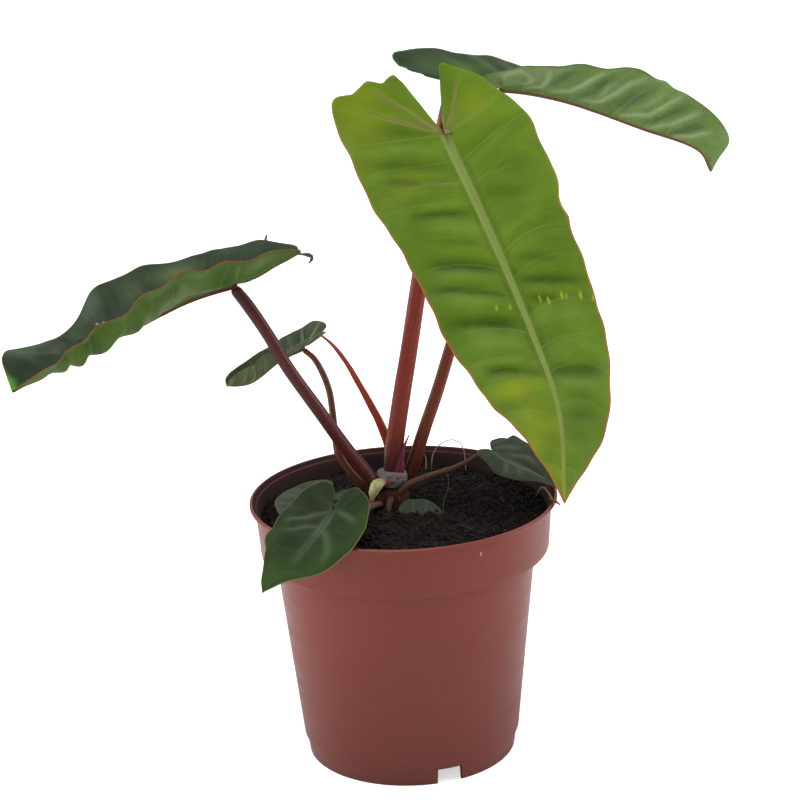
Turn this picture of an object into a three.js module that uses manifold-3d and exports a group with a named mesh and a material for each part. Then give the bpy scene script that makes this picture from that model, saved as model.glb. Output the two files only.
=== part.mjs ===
// A young philodendron in a round plastic nursery pot.
//
// Millimetres, +Z up. The pot stands on z = 0, and the origin lies under the middle of the whole
// plant's box, so the pot's own axis is at POT_AXIS. Everything below is written in the pot's
// frame (axis at x = y = 0), and one group moves it there. -Y is the front.
import * as THREE from 'three'
import { mergeVertices } from 'three/addons/utils/BufferGeometryUtils.js'
import Module from 'manifold-3d'

const wasm = await Module()
wasm.setup()

const POT_AXIS = { x: 8, y: 6.5 }
const GAP = 0.3 // clearance that touching pieces keep

// ---- driving dimensions: pot --------------------------------------------------------------
const POT = {
  height: 105,
  rimRadius: 60,
  lipHeight: 1.5,
  bandHeight: 19.5, // the wide collar under the rim
  bandTopRadius: 57.8,
  bandFootRadius: 56.4,
  bodyTopRadius: 50.8,
  bodyFootRadius: 42.8,
  footHeight: 7.4,
  footRadius: 41.9,
  baseRadius: 41,
  wall: 1.3,
  floorHeight: 6.8, // underside of the raised floor
  sides: 48,
}
const NOTCH = { width: 10, height: 6.3, count: 3, firstAngle: -70 }
const DRAIN = { radius: 3.5, circle: 27, count: 6 }

// ---- driving dimensions: soil -------------------------------------------------------------
const SOIL = { level: 97.6, mound: 1.6, roughness: 0.5, rings: 7, sides: 36 }

// ---- driving dimensions: blades -----------------------------------------------------------
// rib: the midrib's line in space; its first point lies behind the sinus, its second is the
//   sinus, where the stalk joins, and its last is the tip.
// up: direction that the upper side faces, at the base and at the tip.
// left, right: half outlines of the flat blade, (along the rib, out from the rib), seen from
//   above with the tip ahead, from the sinus round the lobe to the tip.
// fold: rise of each half above the flat, degrees, at even steps from lobe to tip.
// curl: further turn from rib to margin, degrees. wave: margin ruffle [height, length, phase].
const BIG = { thickness: 0.8, lobeRows: 6, rows: 16, columns: 4 }
const SMALL = { thickness: 0.7, lobeRows: 5, rows: 8, columns: 2 }

const BLADES = {
  tall: {
    ...BIG,
    ridge: [2.1, 0.5],
    rib: [[13, 4, 268], [20.5, -2, 247.5], [34, -14, 217], [48.5, -30, 181.5], [58, -50, 153.5],
      [58.5, -72, 127.5]],
    up: [[0, -0.75, 0.66], [0, -0.8, 0.6]],
    left: [[-14, 3], [-25.6, 7.6], [-23, 13], [-15, 22], [1, 31], [22, 33], [53, 29], [84, 26.5], [111, 20],
      [132, 11]],
    right: [[-12, 3], [-26, 10], [-27, 20], [-25, 35], [-4, 36.5], [15, 36], [44, 32.5], [74, 31],
      [109, 22], [133, 8]],
    fold: { left: [8, 10, 7, 9], right: [9, 10, 10, 6] },
    curl: { left: [-25, -25, -20, -20], right: [-25, -25, -18, -20] },
    wave: { left: [0.8, 26, 0], right: [0.8, 30, 90] },
  },
  left: {
    ...BIG,
    ridge: [1.9, 0.5],
    rib: [[-37, 4.5, 196.5], [-61, 0, 192.5], [-78, -4, 188.5], [-101, -12, 179.5], [-128.5, -20, 169],
      [-143.5, -32, 163]],
    up: [[0, 0, 1], [0, 0, 1]],
    left: [[-9, 3], [-20, 7.8], [-29.6, 13], [-24, 17], [-10.5, 20], [11.5, 23], [33, 26], [50, 19],
      [72, 20], [88, 5]],
    right: [[-14.5, 4.2], [-30.6, 12], [-24, 18.5], [-9.5, 24.5], [9.5, 24], [31, 26.5], [50.5, 24.5],
      [73.5, 24.5], [90, 11]],
    fold: { left: [46, 37, 40, 39, 22, 11], right: [26, 24, 28, 40, 14, 36] },
    curl: { left: [0, 0, 0, 0, 0, 0], right: [-12, -10, -10, -11, -26, 0] },
    wave: { left: [1.2, 17, 40], right: [0.9, 21, 0] },
  },
  right: {
    ...BIG,
    ridge: [1.8, 0.5],
    rib: [[23, 20, 259], [43.5, 26.5, 258.5], [66.5, 35.5, 252], [98.5, 45, 237.5], [122, 51, 226],
      [127, 55.5, 216.5]],
    up: [[0, 0, 1], [0, 0, 1]],
    left: [[-12, 4], [-28, 10.6], [-37, 15.5], [-36, 22], [-20.5, 27], [-1.5, 23], [25.5, 23],
      [46.5, 24.5], [66.5, 18.5], [85, 10]],
    right: [[-8, 2], [-15, 7], [-12, 16], [-5, 22], [9, 23.5], [27.5, 28], [47.5, 29.5], [63, 23],
      [76, 18], [88, 13]],
    fold: { left: [35, 29, 22, 30, 48, 43], right: [55, 30, 36, 42, 62, 53] },
    curl: { left: [0, -10, -5, 0, 10, 0], right: [0, 0, 0, 0, 0, 0] },
    wave: { left: [1, 23, 0], right: [0.8, 19, 60] },
  },
  small: {
    ...SMALL,
    ridge: [1.1, 0.4],
    rib: [[-26, 23.5, 165], [-37, 20.5, 160.5], [-46, 16, 157.5], [-57.5, 10, 150.5], [-66.5, 4, 151]],
    up: [[0, 0, 1], [0, 0, 1]],
    left: [[-6, 3], [-10, 6], [-8, 11], [-1, 13.5], [14, 12.5], [28, 10], [35, 4]],
    right: [[-7, 2], [-12.5, 5], [-9.5, 11.5], [-1.5, 14], [11, 10], [27, 9.5], [34.5, 4]],
    fold: { left: [28, 30, 51, 62], right: [20, 6, 24, 23] },
    curl: { left: [0, 0, 0, 0], right: [0, 0, 0, 0] },
    wave: { left: [0.5, 13, 0], right: [0.5, 15, 0] },
  },
  front: {
    ...SMALL,
    ridge: [1.1, 0.4],
    rib: [[-23, -24, 118], [-27, -36, 112], [-34, -53, 108], [-41, -65, 104], [-52.5, -76, 97]],
    up: [[-0.1, -0.3, 0.95], [-0.1, -0.45, 0.9]],
    left: [[-9, 0.8], [-13.5, 6], [-9, 11.5], [0.5, 14.5], [16.5, 16.5], [33.5, 12], [43, 4]],
    right: [[-8.5, 0.8], [-16, 7], [-10, 15], [-1, 19.5], [17, 19], [34, 13], [45, 5.5]],
    fold: { left: [8, 9, 8, 8], right: [8, 8, 9, 8] },
    curl: { left: [-25, -25, -25, -25], right: [-25, -25, -25, -25] },
    wave: { left: [0.5, 17, 0], right: [0.5, 19, 0] },
  },
  behind: {
    ...SMALL,
    ridge: [0.9, 0.4],
    rib: [[-25.5, -17, 113], [-29.5, -23, 111], [-34, -30, 109.5], [-38.5, -35.5, 108.2],
      [-42.5, -39.5, 107.2]],
    up: [[-0.2, -0.1, 0.97], [-0.2, -0.2, 0.95]],
    left: [[-4, 1.8], [-7, 4.4], [-6, 8], [-1, 9], [7, 8], [13, 5.5], [17, 2.5]],
    right: [[-5, 2], [-8.5, 4], [-7, 11], [-1.5, 16.5], [8, 15.5], [15, 10.5], [19, 4.5]],
    fold: { left: [5, 5, 5, 5], right: [10, 11, 9, 8] },
    curl: { left: [-20, -20, -20, -20], right: [-18, -18, -20, -20] },
    wave: { left: [0.3, 15, 0], right: [0.3, 15, 0] },
  },
  side: {
    ...SMALL,
    ridge: [1, 0.4],
    rib: [[32, 16, 117.5], [35.5, 12, 118], [42.5, 8, 115.5], [52.5, 2, 111], [62, -8, 107]],
    up: [[0.1, -0.15, 0.98], [0.15, -0.2, 0.96]],
    left: [[-4, 2.5], [-7.5, 6.4], [-7, 10.5], [-0.5, 12.5], [12, 14], [23.5, 8], [30, 3.5]],
    right: [[-4.5, 1.3], [-7.3, 3.5], [-5, 7], [1, 10], [11, 12.5], [22.5, 7], [29, 2]],
    fold: { left: [15, 14, 15, 10], right: [6, 5, 5, 5] },
    curl: { left: [-18, -18, -18, -20], right: [-20, -20, -20, -20] },
    wave: { left: [0.4, 13, 0], right: [0.4, 13, 90] },
  },
  buried: {
    ...SMALL,
    thickness: 0.8,
    lobeRows: 2,
    ridge: [0.8, 0.4],
    rib: [[-5, -4, 101], [-3, -4.5, 101], [3, -6, 101], [9, -6.6, 100.8], [15, -6.5, 100.4]],
    up: [[0, -0.7, 0.7], [0, -0.7, 0.7]],
    left: [[-0.5, 2], [0.5, 4.5], [3.5, 6.7], [8, 7.3], [12.5, 5.8], [16, 3]],
    right: [[-0.4, 0.5], [0.4, 0.9], [3.5, 1.1], [8, 1.1], [12.5, 1], [16, 0.7]],
    fold: { left: [6, 6, 6, 6], right: [0, 0, 0, 0] },
    curl: { left: [-30, -30, -30, -30], right: [0, 0, 0, 0] },
    wave: { left: [0.2, 9, 0], right: [0, 9, 0] },
  },
}
const FAN_END = 0.35 // the lobe's rows fan from the sinus up to this share of the lobe's length
const FAN_START = 0.34 // share of the fanned outline that the first row skips, so the sinus stays open
const LINE_STEPS = 240 // samples along a rib or an outline

// ---- driving dimensions: stalks and sheaths -----------------------------------------------
// Each follows a line in space, from its root in the crown to where it joins its blade, and
// tapers evenly through its radii.
const STALKS = {
  tall: {
    path: [[-3.6, 8, 104.2], [-2.6, 8.5, 117], [1.5, 10, 140], [5, 11.5, 160.5], [8, 12.5, 180.5],
      [15, 14, 219], [19.5, 13, 247], [21, 9, 255.5], [20.5, 2.5, 251.8]],
    radii: [3.6, 3.5, 3.3, 3.1, 3, 2.9],
    sides: 12,
  },
  left: {
    path: [[-9, 7, 101.8], [-11.8, 5.8, 108.8], [-21, 5, 122.5], [-31.5, 3, 140], [-42.5, 2, 158],
      [-49.5, 1, 172], [-56.5, 0.5, 184], [-60.2, 0.2, 189.4]],
    radii: [2.9, 2.7, 2.6, 2.5, 2.4, 2.2],
    sides: 10,
  },
  right: {
    path: [[2, 11.2, 101.2], [4.8, 11, 110.5], [9.5, 12, 127.5], [15, 15, 142.5], [20.5, 18, 158.5],
      [29, 22, 184.5], [36.5, 25, 215.5], [41, 26, 242.5], [42.7, 26.4, 255.4]],
    radii: [2.8, 2.5, 2.4, 2.3, 2.2, 2.1],
    sides: 10,
  },
  small: {
    path: [[-8.6, 12.4, 101.2], [-14.5, 12.6, 104.4], [-21, 13, 111.5], [-25, 14, 119], [-26, 16, 128],
      [-26.5, 17, 135], [-27.5, 18.5, 143], [-30, 19.5, 150.5], [-33, 20, 156], [-36.1, 20.5, 158.8]],
    radii: [1.6, 1.5, 1.4, 1.35, 1.3, 1.1],
    sides: 8,
  },
  front: {
    path: [[-8.4, 2.4, 100.4], [-10, -3, 102.6], [-13.5, -14, 105.4], [-19.6, -25.8, 107],
      [-26.6, -35.2, 110.5]],
    radii: [1.3, 1.2, 1.1],
    sides: 8,
  },
  behind: {
    path: [[-10.9, 4.6, 97.2], [-15, 1.6, 101.6], [-19, -3.5, 107], [-24, -12, 109.6], [-28.8, -21.6, 109.8]],
    radii: [1.2, 1.1, 1],
    sides: 8,
  },
  side: {
    path: [[1, 4, 102.6], [5, 4.4, 107.8], [10, 6, 110.4], [16.5, 8, 111], [21, 9, 112],
      [26.5, 10.5, 114.2], [31, 11.6, 116], [34, 12, 116.3]],
    radii: [2, 1.8, 1.6, 1.5, 1.3, 1.1],
    sides: 8,
  },
}
const SHEATHS = {
  red: {
    path: [[-5.4, 13.4, 101.5], [-5.8, 14.8, 110], [-5.6, 14, 121], [-8, 13.6, 130], [-11.4, 13.4, 138],
      [-15.4, 13, 146.5], [-20.5, 12.6, 156.5], [-25.3, 12.4, 163.5], [-29.2, 12.4, 167.2]],
    radii: [1.9, 1.9, 1.8, 1.5, 1.2, 0.9, 0.5],
    sides: 8,
  },
  pink: {
    path: [[0.1, 3.7, 108.4], [0.4, 3.6, 114], [1.1, 4.2, 121], [2.9, 4.8, 127.4]],
    radii: [1.4, 1.4, 1, 0.4],
    sides: 8,
  },
  green: {
    path: [[-7.9, 1.9, 108.6], [-10.8, 0.2, 107.4], [-12.8, -1.5, 104.5], [-13.6, -3, 101.4]],
    radii: [1.7, 2.5, 1.6, 0.5],
    sides: 10,
  },
}
const AIR_ROOT = {
  path: [[-4.8, 1.6, 103], [-5.8, -0.6, 100.8], [-6.3, -3.2, 97.6]],
  radii: [1.2, 1.2, 0.8],
  sides: 8,
}
const CROWN = { x: -4.5, y: 8, foot: 91, top: 106.4, radius: 6.8, sides: 16 }
const NODE_RING = { x: -4.1, y: 7.8, foot: 106.7, top: 110.6, radius: 6.1 }
const STEPS_PER_POINT = 2 // tube rings between two points of its path

// ---- colours --------------------------------------------------------------------------------
const LOOKS = {
  pot: { color: 0x7a4a40, roughness: 0.5 },
  soil: { color: 0x17130f, roughness: 0.95 },
  yellowGreen: { color: 0x6f8c2c, roughness: 0.45 },
  deepGreen: { color: 0x3a5a2c, roughness: 0.5 },
  greyGreen: { color: 0x46563f, roughness: 0.55 },
  redBrown: { color: 0x7c3b2e, roughness: 0.5 },
  darkRed: { color: 0x64302f, roughness: 0.5 },
  brown: { color: 0x6a402f, roughness: 0.55 },
  redSheath: { color: 0xa8442f, roughness: 0.5 },
  pinkSheath: { color: 0x8c2a50, roughness: 0.5 },
  greenSheath: { color: 0xa9bd6a, roughness: 0.5 },
  crown: { color: 0x4c2a26, roughness: 0.8 },
  ring: { color: 0x9a9493, roughness: 0.8 },
}

// ---- small helpers ----------------------------------------------------------------------------
const radians = THREE.MathUtils.degToRad
const mix = THREE.MathUtils.lerp
const vector = ([x, y, z = 0]) => new THREE.Vector3(x, y, z)

/** Value at t in 0..1 of numbers that stand at even steps, eased between neighbours. */
function along(values, t) {
  const place = THREE.MathUtils.clamp(t, 0, 1) * (values.length - 1)
  const i = Math.min(Math.floor(place), values.length - 2)
  return mix(values[i], values[i + 1], THREE.MathUtils.smoothstep(place - i, 0, 1))
}

/** A smooth line through points, read by arc length and running straight on past its ends. */
class Line {
  constructor(points) {
    this.curve = new THREE.CatmullRomCurve3(points.map(vector), false, 'centripetal')
    this.curve.arcLengthDivisions = LINE_STEPS
    this.length = this.curve.getLength()
    this.samples = this.curve.getSpacedPoints(LINE_STEPS)
  }

  lengthAtPoint(index, count) {
    return this.curve.getLengths()[Math.round((LINE_STEPS * index) / (count - 1))]
  }

  at(distance) {
    const place = (distance / this.length) * LINE_STEPS
    const i = THREE.MathUtils.clamp(Math.floor(place), 0, LINE_STEPS - 1)
    return this.samples[i].clone().lerp(this.samples[i + 1], place - i)
  }
}

function geometryOf(points, triangles) {
  const geometry = new THREE.BufferGeometry().setFromPoints(points)
  geometry.setIndex(triangles.flat())
  return geometry
}

function solidOf(geometry) {
  const bare = geometry.clone()
  bare.deleteAttribute('normal')
  bare.deleteAttribute('uv')
  const merged = mergeVertices(bare, 1e-4)
  return new wasm.Manifold(new wasm.Mesh({
    numProp: 3,
    vertProperties: merged.attributes.position.array,
    triVerts: Uint32Array.from(merged.index.array),
  }))
}

function geometryFrom(solid) {
  const { vertProperties, triVerts } = solid.getMesh()
  const geometry = new THREE.BufferGeometry()
  geometry.setAttribute('position', new THREE.BufferAttribute(new Float32Array(vertProperties), 3))
  geometry.setIndex(new THREE.BufferAttribute(new Uint32Array(triVerts), 1))
  return geometry
}

/** A closed round tube along a path, tapering through its radii, with flat ends. */
function tube({ path, radii, sides }, extra = 0) {
  const line = new THREE.CatmullRomCurve3(path.map(vector), false, 'centripetal')
  const steps = (path.length - 1) * STEPS_PER_POINT
  const frames = line.computeFrenetFrames(steps)
  const points = []
  for (let i = 0; i <= steps; i++) {
    const centre = line.getPointAt(i / steps)
    const radius = along(radii, i / steps) + extra
    for (let j = 0; j < sides; j++) {
      const angle = (2 * Math.PI * j) / sides
      points.push(centre.clone()
        .addScaledVector(frames.normals[i], Math.cos(angle) * radius)
        .addScaledVector(frames.binormals[i], Math.sin(angle) * radius))
    }
  }
  const first = points.push(line.getPointAt(0)) - 1
  const last = points.push(line.getPointAt(1)) - 1
  const triangles = []
  const at = (i, j) => i * sides + (j % sides)
  for (let j = 0; j < sides; j++) {
    for (let i = 0; i < steps; i++) {
      triangles.push([at(i, j), at(i, j + 1), at(i + 1, j + 1)], [at(i, j), at(i + 1, j + 1), at(i + 1, j)])
    }
    triangles.push([first, at(0, j + 1), at(0, j)], [last, at(steps, j), at(steps, j + 1)])
  }
  return geometryOf(points, triangles)
}

// ---- blades -----------------------------------------------------------------------------------
class Blade {
  constructor(shape) {
    Object.assign(this, shape)
    this.line = new Line(this.rib)
    this.sinusAt = this.line.lengthAtPoint(1, this.rib.length)
    this.ribLength = this.line.length - this.sinusAt
    this.halfWidth = Math.max(...[...this.left, ...this.right].map(([, out]) => out))
    this.lobeLength = Math.max(...[...this.left, ...this.right].map(([ahead]) => -ahead))
    this.outlines = Object.fromEntries(['left', 'right'].map((side) =>
      [side, new Line([[0, 0], ...this[side], [this.ribLength, 0]])]))
  }

  /** Rib point, tangent, sideways direction and blade normal at a distance from the sinus. */
  frame(ahead) {
    const place = this.sinusAt + ahead
    const point = this.line.at(place)
    const tangent = this.line.at(place + 1.5).sub(this.line.at(place - 1.5)).normalize()
    const share = THREE.MathUtils.clamp((ahead + this.lobeLength) / (this.ribLength + this.lobeLength), 0, 1)
    const up = vector(this.up[0]).lerp(vector(this.up[1]), share)
    const across = tangent.clone().cross(up).normalize()
    const normal = across.clone().cross(tangent)
    return { point, tangent, across, normal, share }
  }

  /** The flat blade's point (ahead, out) on one side, bent to its place in space. */
  place(ahead, out, side) {
    const { point, across, normal, share } = this.frame(ahead)
    const sign = side === 'right' ? 1 : -1
    const start = radians(along(this.fold[side], share))
    const turn = (radians(along(this.curl[side], share)) || 1e-6) / this.halfWidth
    const end = start + turn * out
    const [height, length, phase] = this.wave[side]
    const ruffle = height * (out / this.halfWidth) ** 2
      * Math.sin((2 * Math.PI * ahead) / length + radians(phase))
    return point
      .addScaledVector(across, sign * ((Math.sin(end) - Math.sin(start)) / turn - Math.sin(end) * ruffle))
      .addScaledVector(normal, (Math.cos(start) - Math.cos(end)) / turn + Math.cos(end) * ruffle)
  }

  /** Distance along the outline where the rows stop fanning from the sinus. */
  fanEnd(outline) {
    const steps = Array.from({ length: LINE_STEPS + 1 }, (_, i) => outline.samples[i].x)
    const deepest = Math.min(...steps)
    const first = steps.findIndex((x, i) => i > steps.indexOf(deepest) && x > FAN_END * deepest)
    return (first / LINE_STEPS) * outline.length
  }

  /** The middle sheet: both halves share the rib, and each lobe fans from the sinus. */
  sheet() {
    const points = []
    const triangles = []
    const add = (point) => points.push(point) - 1
    const { lobeRows, rows, columns, ribLength } = this
    const rib = Array.from({ length: rows + 1 }, (_, k) =>
      add(this.place((ribLength * k) / rows, 0, 'left')))
    for (const side of ['left', 'right']) {
      const outline = this.outlines[side]
      const fan = this.fanEnd(outline)
      const row = (foot, ahead, distance) => {
        const margin = outline.at(distance)
        return Array.from({ length: columns + 1 }, (_, j) => (j === 0 ? foot
          : add(this.place(mix(ahead, margin.x, j / columns), mix(0, margin.y, j / columns), side))))
      }
      const grid = []
      for (let i = 0; i < lobeRows; i++) {
        grid.push(row(rib[0], 0, fan * mix(FAN_START, 1, i / (lobeRows - 1))))
      }
      for (let k = 1; k < rows; k++) {
        grid.push(row(rib[k], (ribLength * k) / rows, mix(fan, outline.length, k / rows)))
      }
      const face = side === 'left' ? (a, b, c) => [a, c, b] : (a, b, c) => [a, b, c]
      for (let i = 0; i + 1 < grid.length; i++) {
        for (let j = 0; j < columns; j++) {
          const [a, b, c, d] = [grid[i][j], grid[i][j + 1], grid[i + 1][j + 1], grid[i + 1][j]]
          triangles.push(face(a, c, b))
          if (a !== d) triangles.push(face(a, d, c))
        }
      }
      const lastRow = grid[grid.length - 1]
      for (let j = 0; j < columns; j++) triangles.push(face(lastRow[j], rib[rows], lastRow[j + 1]))
    }
    return { points, triangles }
  }

  /** The sheet given its thickness: the same triangles above and below, and a wall round the edge. */
  thickened(thickness) {
    const { points, triangles } = this.sheet()
    const normals = points.map(() => new THREE.Vector3())
    for (const corners of triangles) {
      const [a, b, c] = corners.map((i) => points[i])
      const normal = b.clone().sub(a).cross(c.clone().sub(a))
      for (const i of corners) normals[i].add(normal)
    }
    const count = points.length
    const shifted = (share) => points.map((p, i) =>
      p.clone().addScaledVector(normals[i].clone().normalize(), thickness * share))
    const edges = new Map()
    for (const corners of triangles) {
      corners.forEach((a, i) => edges.set(`${a},${corners[(i + 1) % 3]}`, [a, corners[(i + 1) % 3]]))
    }
    const rim = [...edges.values()].filter(([a, b]) => !edges.has(`${b},${a}`))
    return geometryOf([...shifted(0.5), ...shifted(-0.5)], [
      ...triangles,
      ...triangles.map(([a, b, c]) => [a + count, c + count, b + count]),
      ...rim.flatMap(([a, b]) => [[b, a, a + count], [b, a + count, b + count]]),
    ])
  }

  /** The midrib, a tapering bar sunk in the blade's underside from the sinus to near the tip. */
  midrib() {
    const [root, end] = this.ridge
    const path = [0, 0.12, 0.3, 0.5, 0.7, 0.86].map((share) => {
      const { point, normal } = this.frame(share * this.ribLength)
      return point.addScaledVector(normal, -0.55 * mix(root, end, share)).toArray()
    })
    return tube({ path, radii: [root, root * 0.85, root * 0.7, root * 0.5, end], sides: 6 })
  }

  solid() {
    return solidOf(this.thickened(this.thickness)).add(solidOf(this.midrib()))
  }
}

// ---- pot --------------------------------------------------------------------------------------
const onAxis = (points) => points.map(([r, z]) => new THREE.Vector2(r, z))
const upright = (geometry) => geometry.rotateX(Math.PI / 2)

/** Outer profile of the pot from the foot to the rim, as (radius, height). */
function outerProfile(p) {
  const bandFoot = p.height - p.lipHeight - p.bandHeight
  return [
    [p.baseRadius, 0],
    [p.footRadius, p.footHeight - 0.4],
    [p.bodyFootRadius, p.footHeight + 0.3],
    [p.bodyTopRadius, bandFoot - 2.2],
    [p.bandFootRadius - 0.5, bandFoot],
    [p.bandFootRadius, bandFoot + 0.6],
    [p.bandTopRadius, p.height - p.lipHeight - 1.6],
    [p.rimRadius, p.height - p.lipHeight],
    [p.rimRadius, p.height - 0.3],
    [p.rimRadius - 0.3, p.height],
  ]
}

/** Inner wall from the rim down to the floor's edge, as (radius, height). */
function innerProfile(p) {
  const bandFoot = p.height - p.lipHeight - p.bandHeight
  return [
    [p.bandTopRadius - p.wall + 0.4, p.height],
    [p.bandTopRadius - p.wall, p.height - 2],
    [p.bandFootRadius - p.wall, bandFoot + 1.6],
    [p.bodyTopRadius - p.wall, bandFoot - 1],
    [p.bodyFootRadius - p.wall + 0.4, p.floorHeight + p.wall + 1.5],
    [p.bodyFootRadius - p.wall - 1.1, p.floorHeight + p.wall],
  ]
}

/** THREE.LatheGeometry turns about Y; the profile is walked so that the faces point outwards. */
function turned(profile, sides) {
  return upright(new THREE.LatheGeometry(onAxis(profile), sides))
}

function potSolid(p) {
  const shell = solidOf(turned([
    [0, p.floorHeight],
    [p.baseRadius - p.wall - 0.6, p.floorHeight],
    [p.baseRadius - p.wall, 0],
    ...outerProfile(p),
    ...innerProfile(p),
    [0, p.floorHeight + p.wall],
  ], p.sides))
  let solid = shell
  for (let i = 0; i < NOTCH.count; i++) {
    const reach = p.baseRadius / 2
    const notch = new THREE.BoxGeometry(reach, NOTCH.width, NOTCH.height * 2)
    notch.translate(p.baseRadius, 0, 0).rotateZ(radians(NOTCH.firstAngle + (360 / NOTCH.count) * i))
    solid = solid.subtract(solidOf(notch))
  }
  for (let i = 0; i < DRAIN.count; i++) {
    const hole = upright(new THREE.CylinderGeometry(DRAIN.radius, DRAIN.radius, p.wall * 4, 12))
    hole.translate(DRAIN.circle, 0, p.floorHeight).rotateZ(radians((360 / DRAIN.count) * (i + 0.5)))
    solid = solid.subtract(solidOf(hole))
  }
  return solid
}

// ---- soil -------------------------------------------------------------------------------------
/** Height of the peat's surface: a low mound with small even lumps. */
function soilHeight(x, y) {
  const mound = SOIL.mound * Math.cos((Math.min(Math.hypot(x, y) / POT.bandFootRadius, 1) * Math.PI) / 2)
  const lumps = Math.sin(x * 0.41 + 1) * Math.sin(y * 0.37) + 0.6 * Math.sin(x * 0.83 - y * 0.71)
  return SOIL.level + mound + SOIL.roughness * lumps
}

function soilSolid() {
  const wallInset = GAP + 0.2
  const wall = innerProfile(POT).filter(([, z]) => z < SOIL.level - 3).map(([r, z]) => [r - wallInset, z])
  const floor = POT.floorHeight + POT.wall + GAP
  wall[wall.length - 1][1] = floor
  const surfaceRadius = wall[0][0]
  const rings = Array.from({ length: SOIL.rings }, (_, i) => {
    const radius = (surfaceRadius * (i + 1)) / SOIL.rings
    return { radius, height: (x, y) => soilHeight(x, y) }
  })
  wall.forEach(([radius, z]) => rings.push({ radius, height: () => z }))
  const points = [new THREE.Vector3(0, 0, soilHeight(0, 0))]
  for (const { radius, height } of rings) {
    for (let j = 0; j < SOIL.sides; j++) {
      const angle = (2 * Math.PI * j) / SOIL.sides
      const [x, y] = [radius * Math.cos(angle), radius * Math.sin(angle)]
      points.push(new THREE.Vector3(x, y, height(x, y)))
    }
  }
  const bottom = points.push(new THREE.Vector3(0, 0, floor)) - 1
  const at = (i, j) => 1 + i * SOIL.sides + (j % SOIL.sides)
  const triangles = []
  for (let j = 0; j < SOIL.sides; j++) {
    triangles.push([0, at(0, j), at(0, j + 1)])
    triangles.push([bottom, at(rings.length - 1, j + 1), at(rings.length - 1, j)])
    for (let i = 0; i + 1 < rings.length; i++) {
      triangles.push([at(i, j), at(i + 1, j), at(i + 1, j + 1)], [at(i, j), at(i + 1, j + 1), at(i, j + 1)])
    }
  }
  return solidOf(geometryOf(points, triangles))
}

// ---- crown ------------------------------------------------------------------------------------
/** The short swollen stem that every stalk grows from, rounded at the top. */
function crownSolid({ x, y, foot, top, radius, sides }) {
  const profile = [[0, foot], [radius * 0.7, foot], [radius * 0.95, foot + 4], [radius, top - 5],
    [radius * 0.96, top - 2], [radius * 0.8, top - 0.4], [0, top]]
  return solidOf(turned(profile, sides).translate(x, y, 0))
}

/** The pale leaf-scar collar on top of the stem. */
function ringSolid({ x, y, foot, top, radius }) {
  const middle = (foot + top) / 2
  const profile = [[0, foot], [radius * 0.86, foot], [radius, middle], [radius * 0.9, top - 0.5],
    [radius * 0.7, top], [0, top]]
  return solidOf(turned(profile, CROWN.sides).translate(x, y, 0))
}

// ---- assembly -----------------------------------------------------------------------------------
const blades = Object.fromEntries(Object.entries(BLADES).map(([name, shape]) => [name, new Blade(shape)]))
const rooted = [...Object.values(STALKS), ...Object.values(SHEATHS), AIR_ROOT]
const without = (solid, cutters) => cutters.reduce((rest, cutter) => rest.subtract(cutter), solid)

/** The holes that tubes stand in: their own shapes, wider and longer at the root by the gap. */
function holes(shapes) {
  return shapes.map((shape) => {
    const [root, next] = shape.path.map(vector)
    const deeper = root.clone().sub(next).setLength(GAP).add(root).toArray()
    return solidOf(tube({ ...shape, path: [deeper, ...shape.path.slice(1)] }, GAP))
  })
}

const plant = new THREE.Group()
plant.position.set(POT_AXIS.x, POT_AXIS.y, 0)

function addPiece(name, solid, look) {
  const mesh = new THREE.Mesh(geometryFrom(solid), new THREE.MeshStandardMaterial(LOOKS[look]))
  mesh.name = name
  plant.add(mesh)
}

const crown = without(crownSolid(CROWN), holes(rooted))
const crownHole = crownSolid({ ...CROWN, foot: CROWN.foot - GAP, radius: CROWN.radius + GAP })
addPiece('pot', potSolid(POT), 'pot')
addPiece('soil', without(soilSolid(), [crownHole, ...holes([AIR_ROOT, STALKS.behind])]), 'soil')
addPiece('crown', crown, 'crown')
addPiece('crown_ring', without(ringSolid(NODE_RING), holes(rooted)), 'ring')
addPiece('air_root', solidOf(tube(AIR_ROOT)), 'redSheath')

const BLADE_LOOKS = {
  tall: 'yellowGreen', left: 'deepGreen', right: 'deepGreen', small: 'deepGreen',
  front: 'deepGreen', behind: 'greyGreen', side: 'greyGreen', buried: 'greyGreen',
}
for (const [name, look] of Object.entries(BLADE_LOOKS)) {
  addPiece(`${name}_blade`, blades[name].solid(), look)
}

const STALK_LOOKS = {
  tall: 'redBrown', left: 'darkRed', right: 'redBrown', small: 'brown',
  front: 'brown', behind: 'brown', side: 'brown',
}
for (const [name, look] of Object.entries(STALK_LOOKS)) {
  addPiece(`${name}_stalk`, solidOf(tube(STALKS[name])), look)
}
addPiece('red_sheath', solidOf(tube(SHEATHS.red)), 'redSheath')
addPiece('pink_sheath', solidOf(tube(SHEATHS.pink)), 'pinkSheath')
addPiece('green_sheath', solidOf(tube(SHEATHS.green)), 'greenSheath')

const group = new THREE.Group()
group.add(plant)

export default group
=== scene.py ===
"""Detailed visual model of a young philodendron in a round nursery pot.

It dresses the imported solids: finer leaf sheets with veins and pleats, satin stalks, a moulded pot
with rounded edges, and peat with crumbs and fibres. Shapes are written in millimetres in the pot's
own frame (its axis at x = y = 0, -Y the front), and moved and scaled once, when a mesh is made.
"""
import logging
import math
from dataclasses import dataclass, field, replace
from enum import Enum
from typing import Iterable, Sequence, Union

import bpy
import numpy as np
from bpy.types import Material, Mesh, NodeSocket, NodeTree, Object
from mathutils import Matrix, Vector


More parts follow.
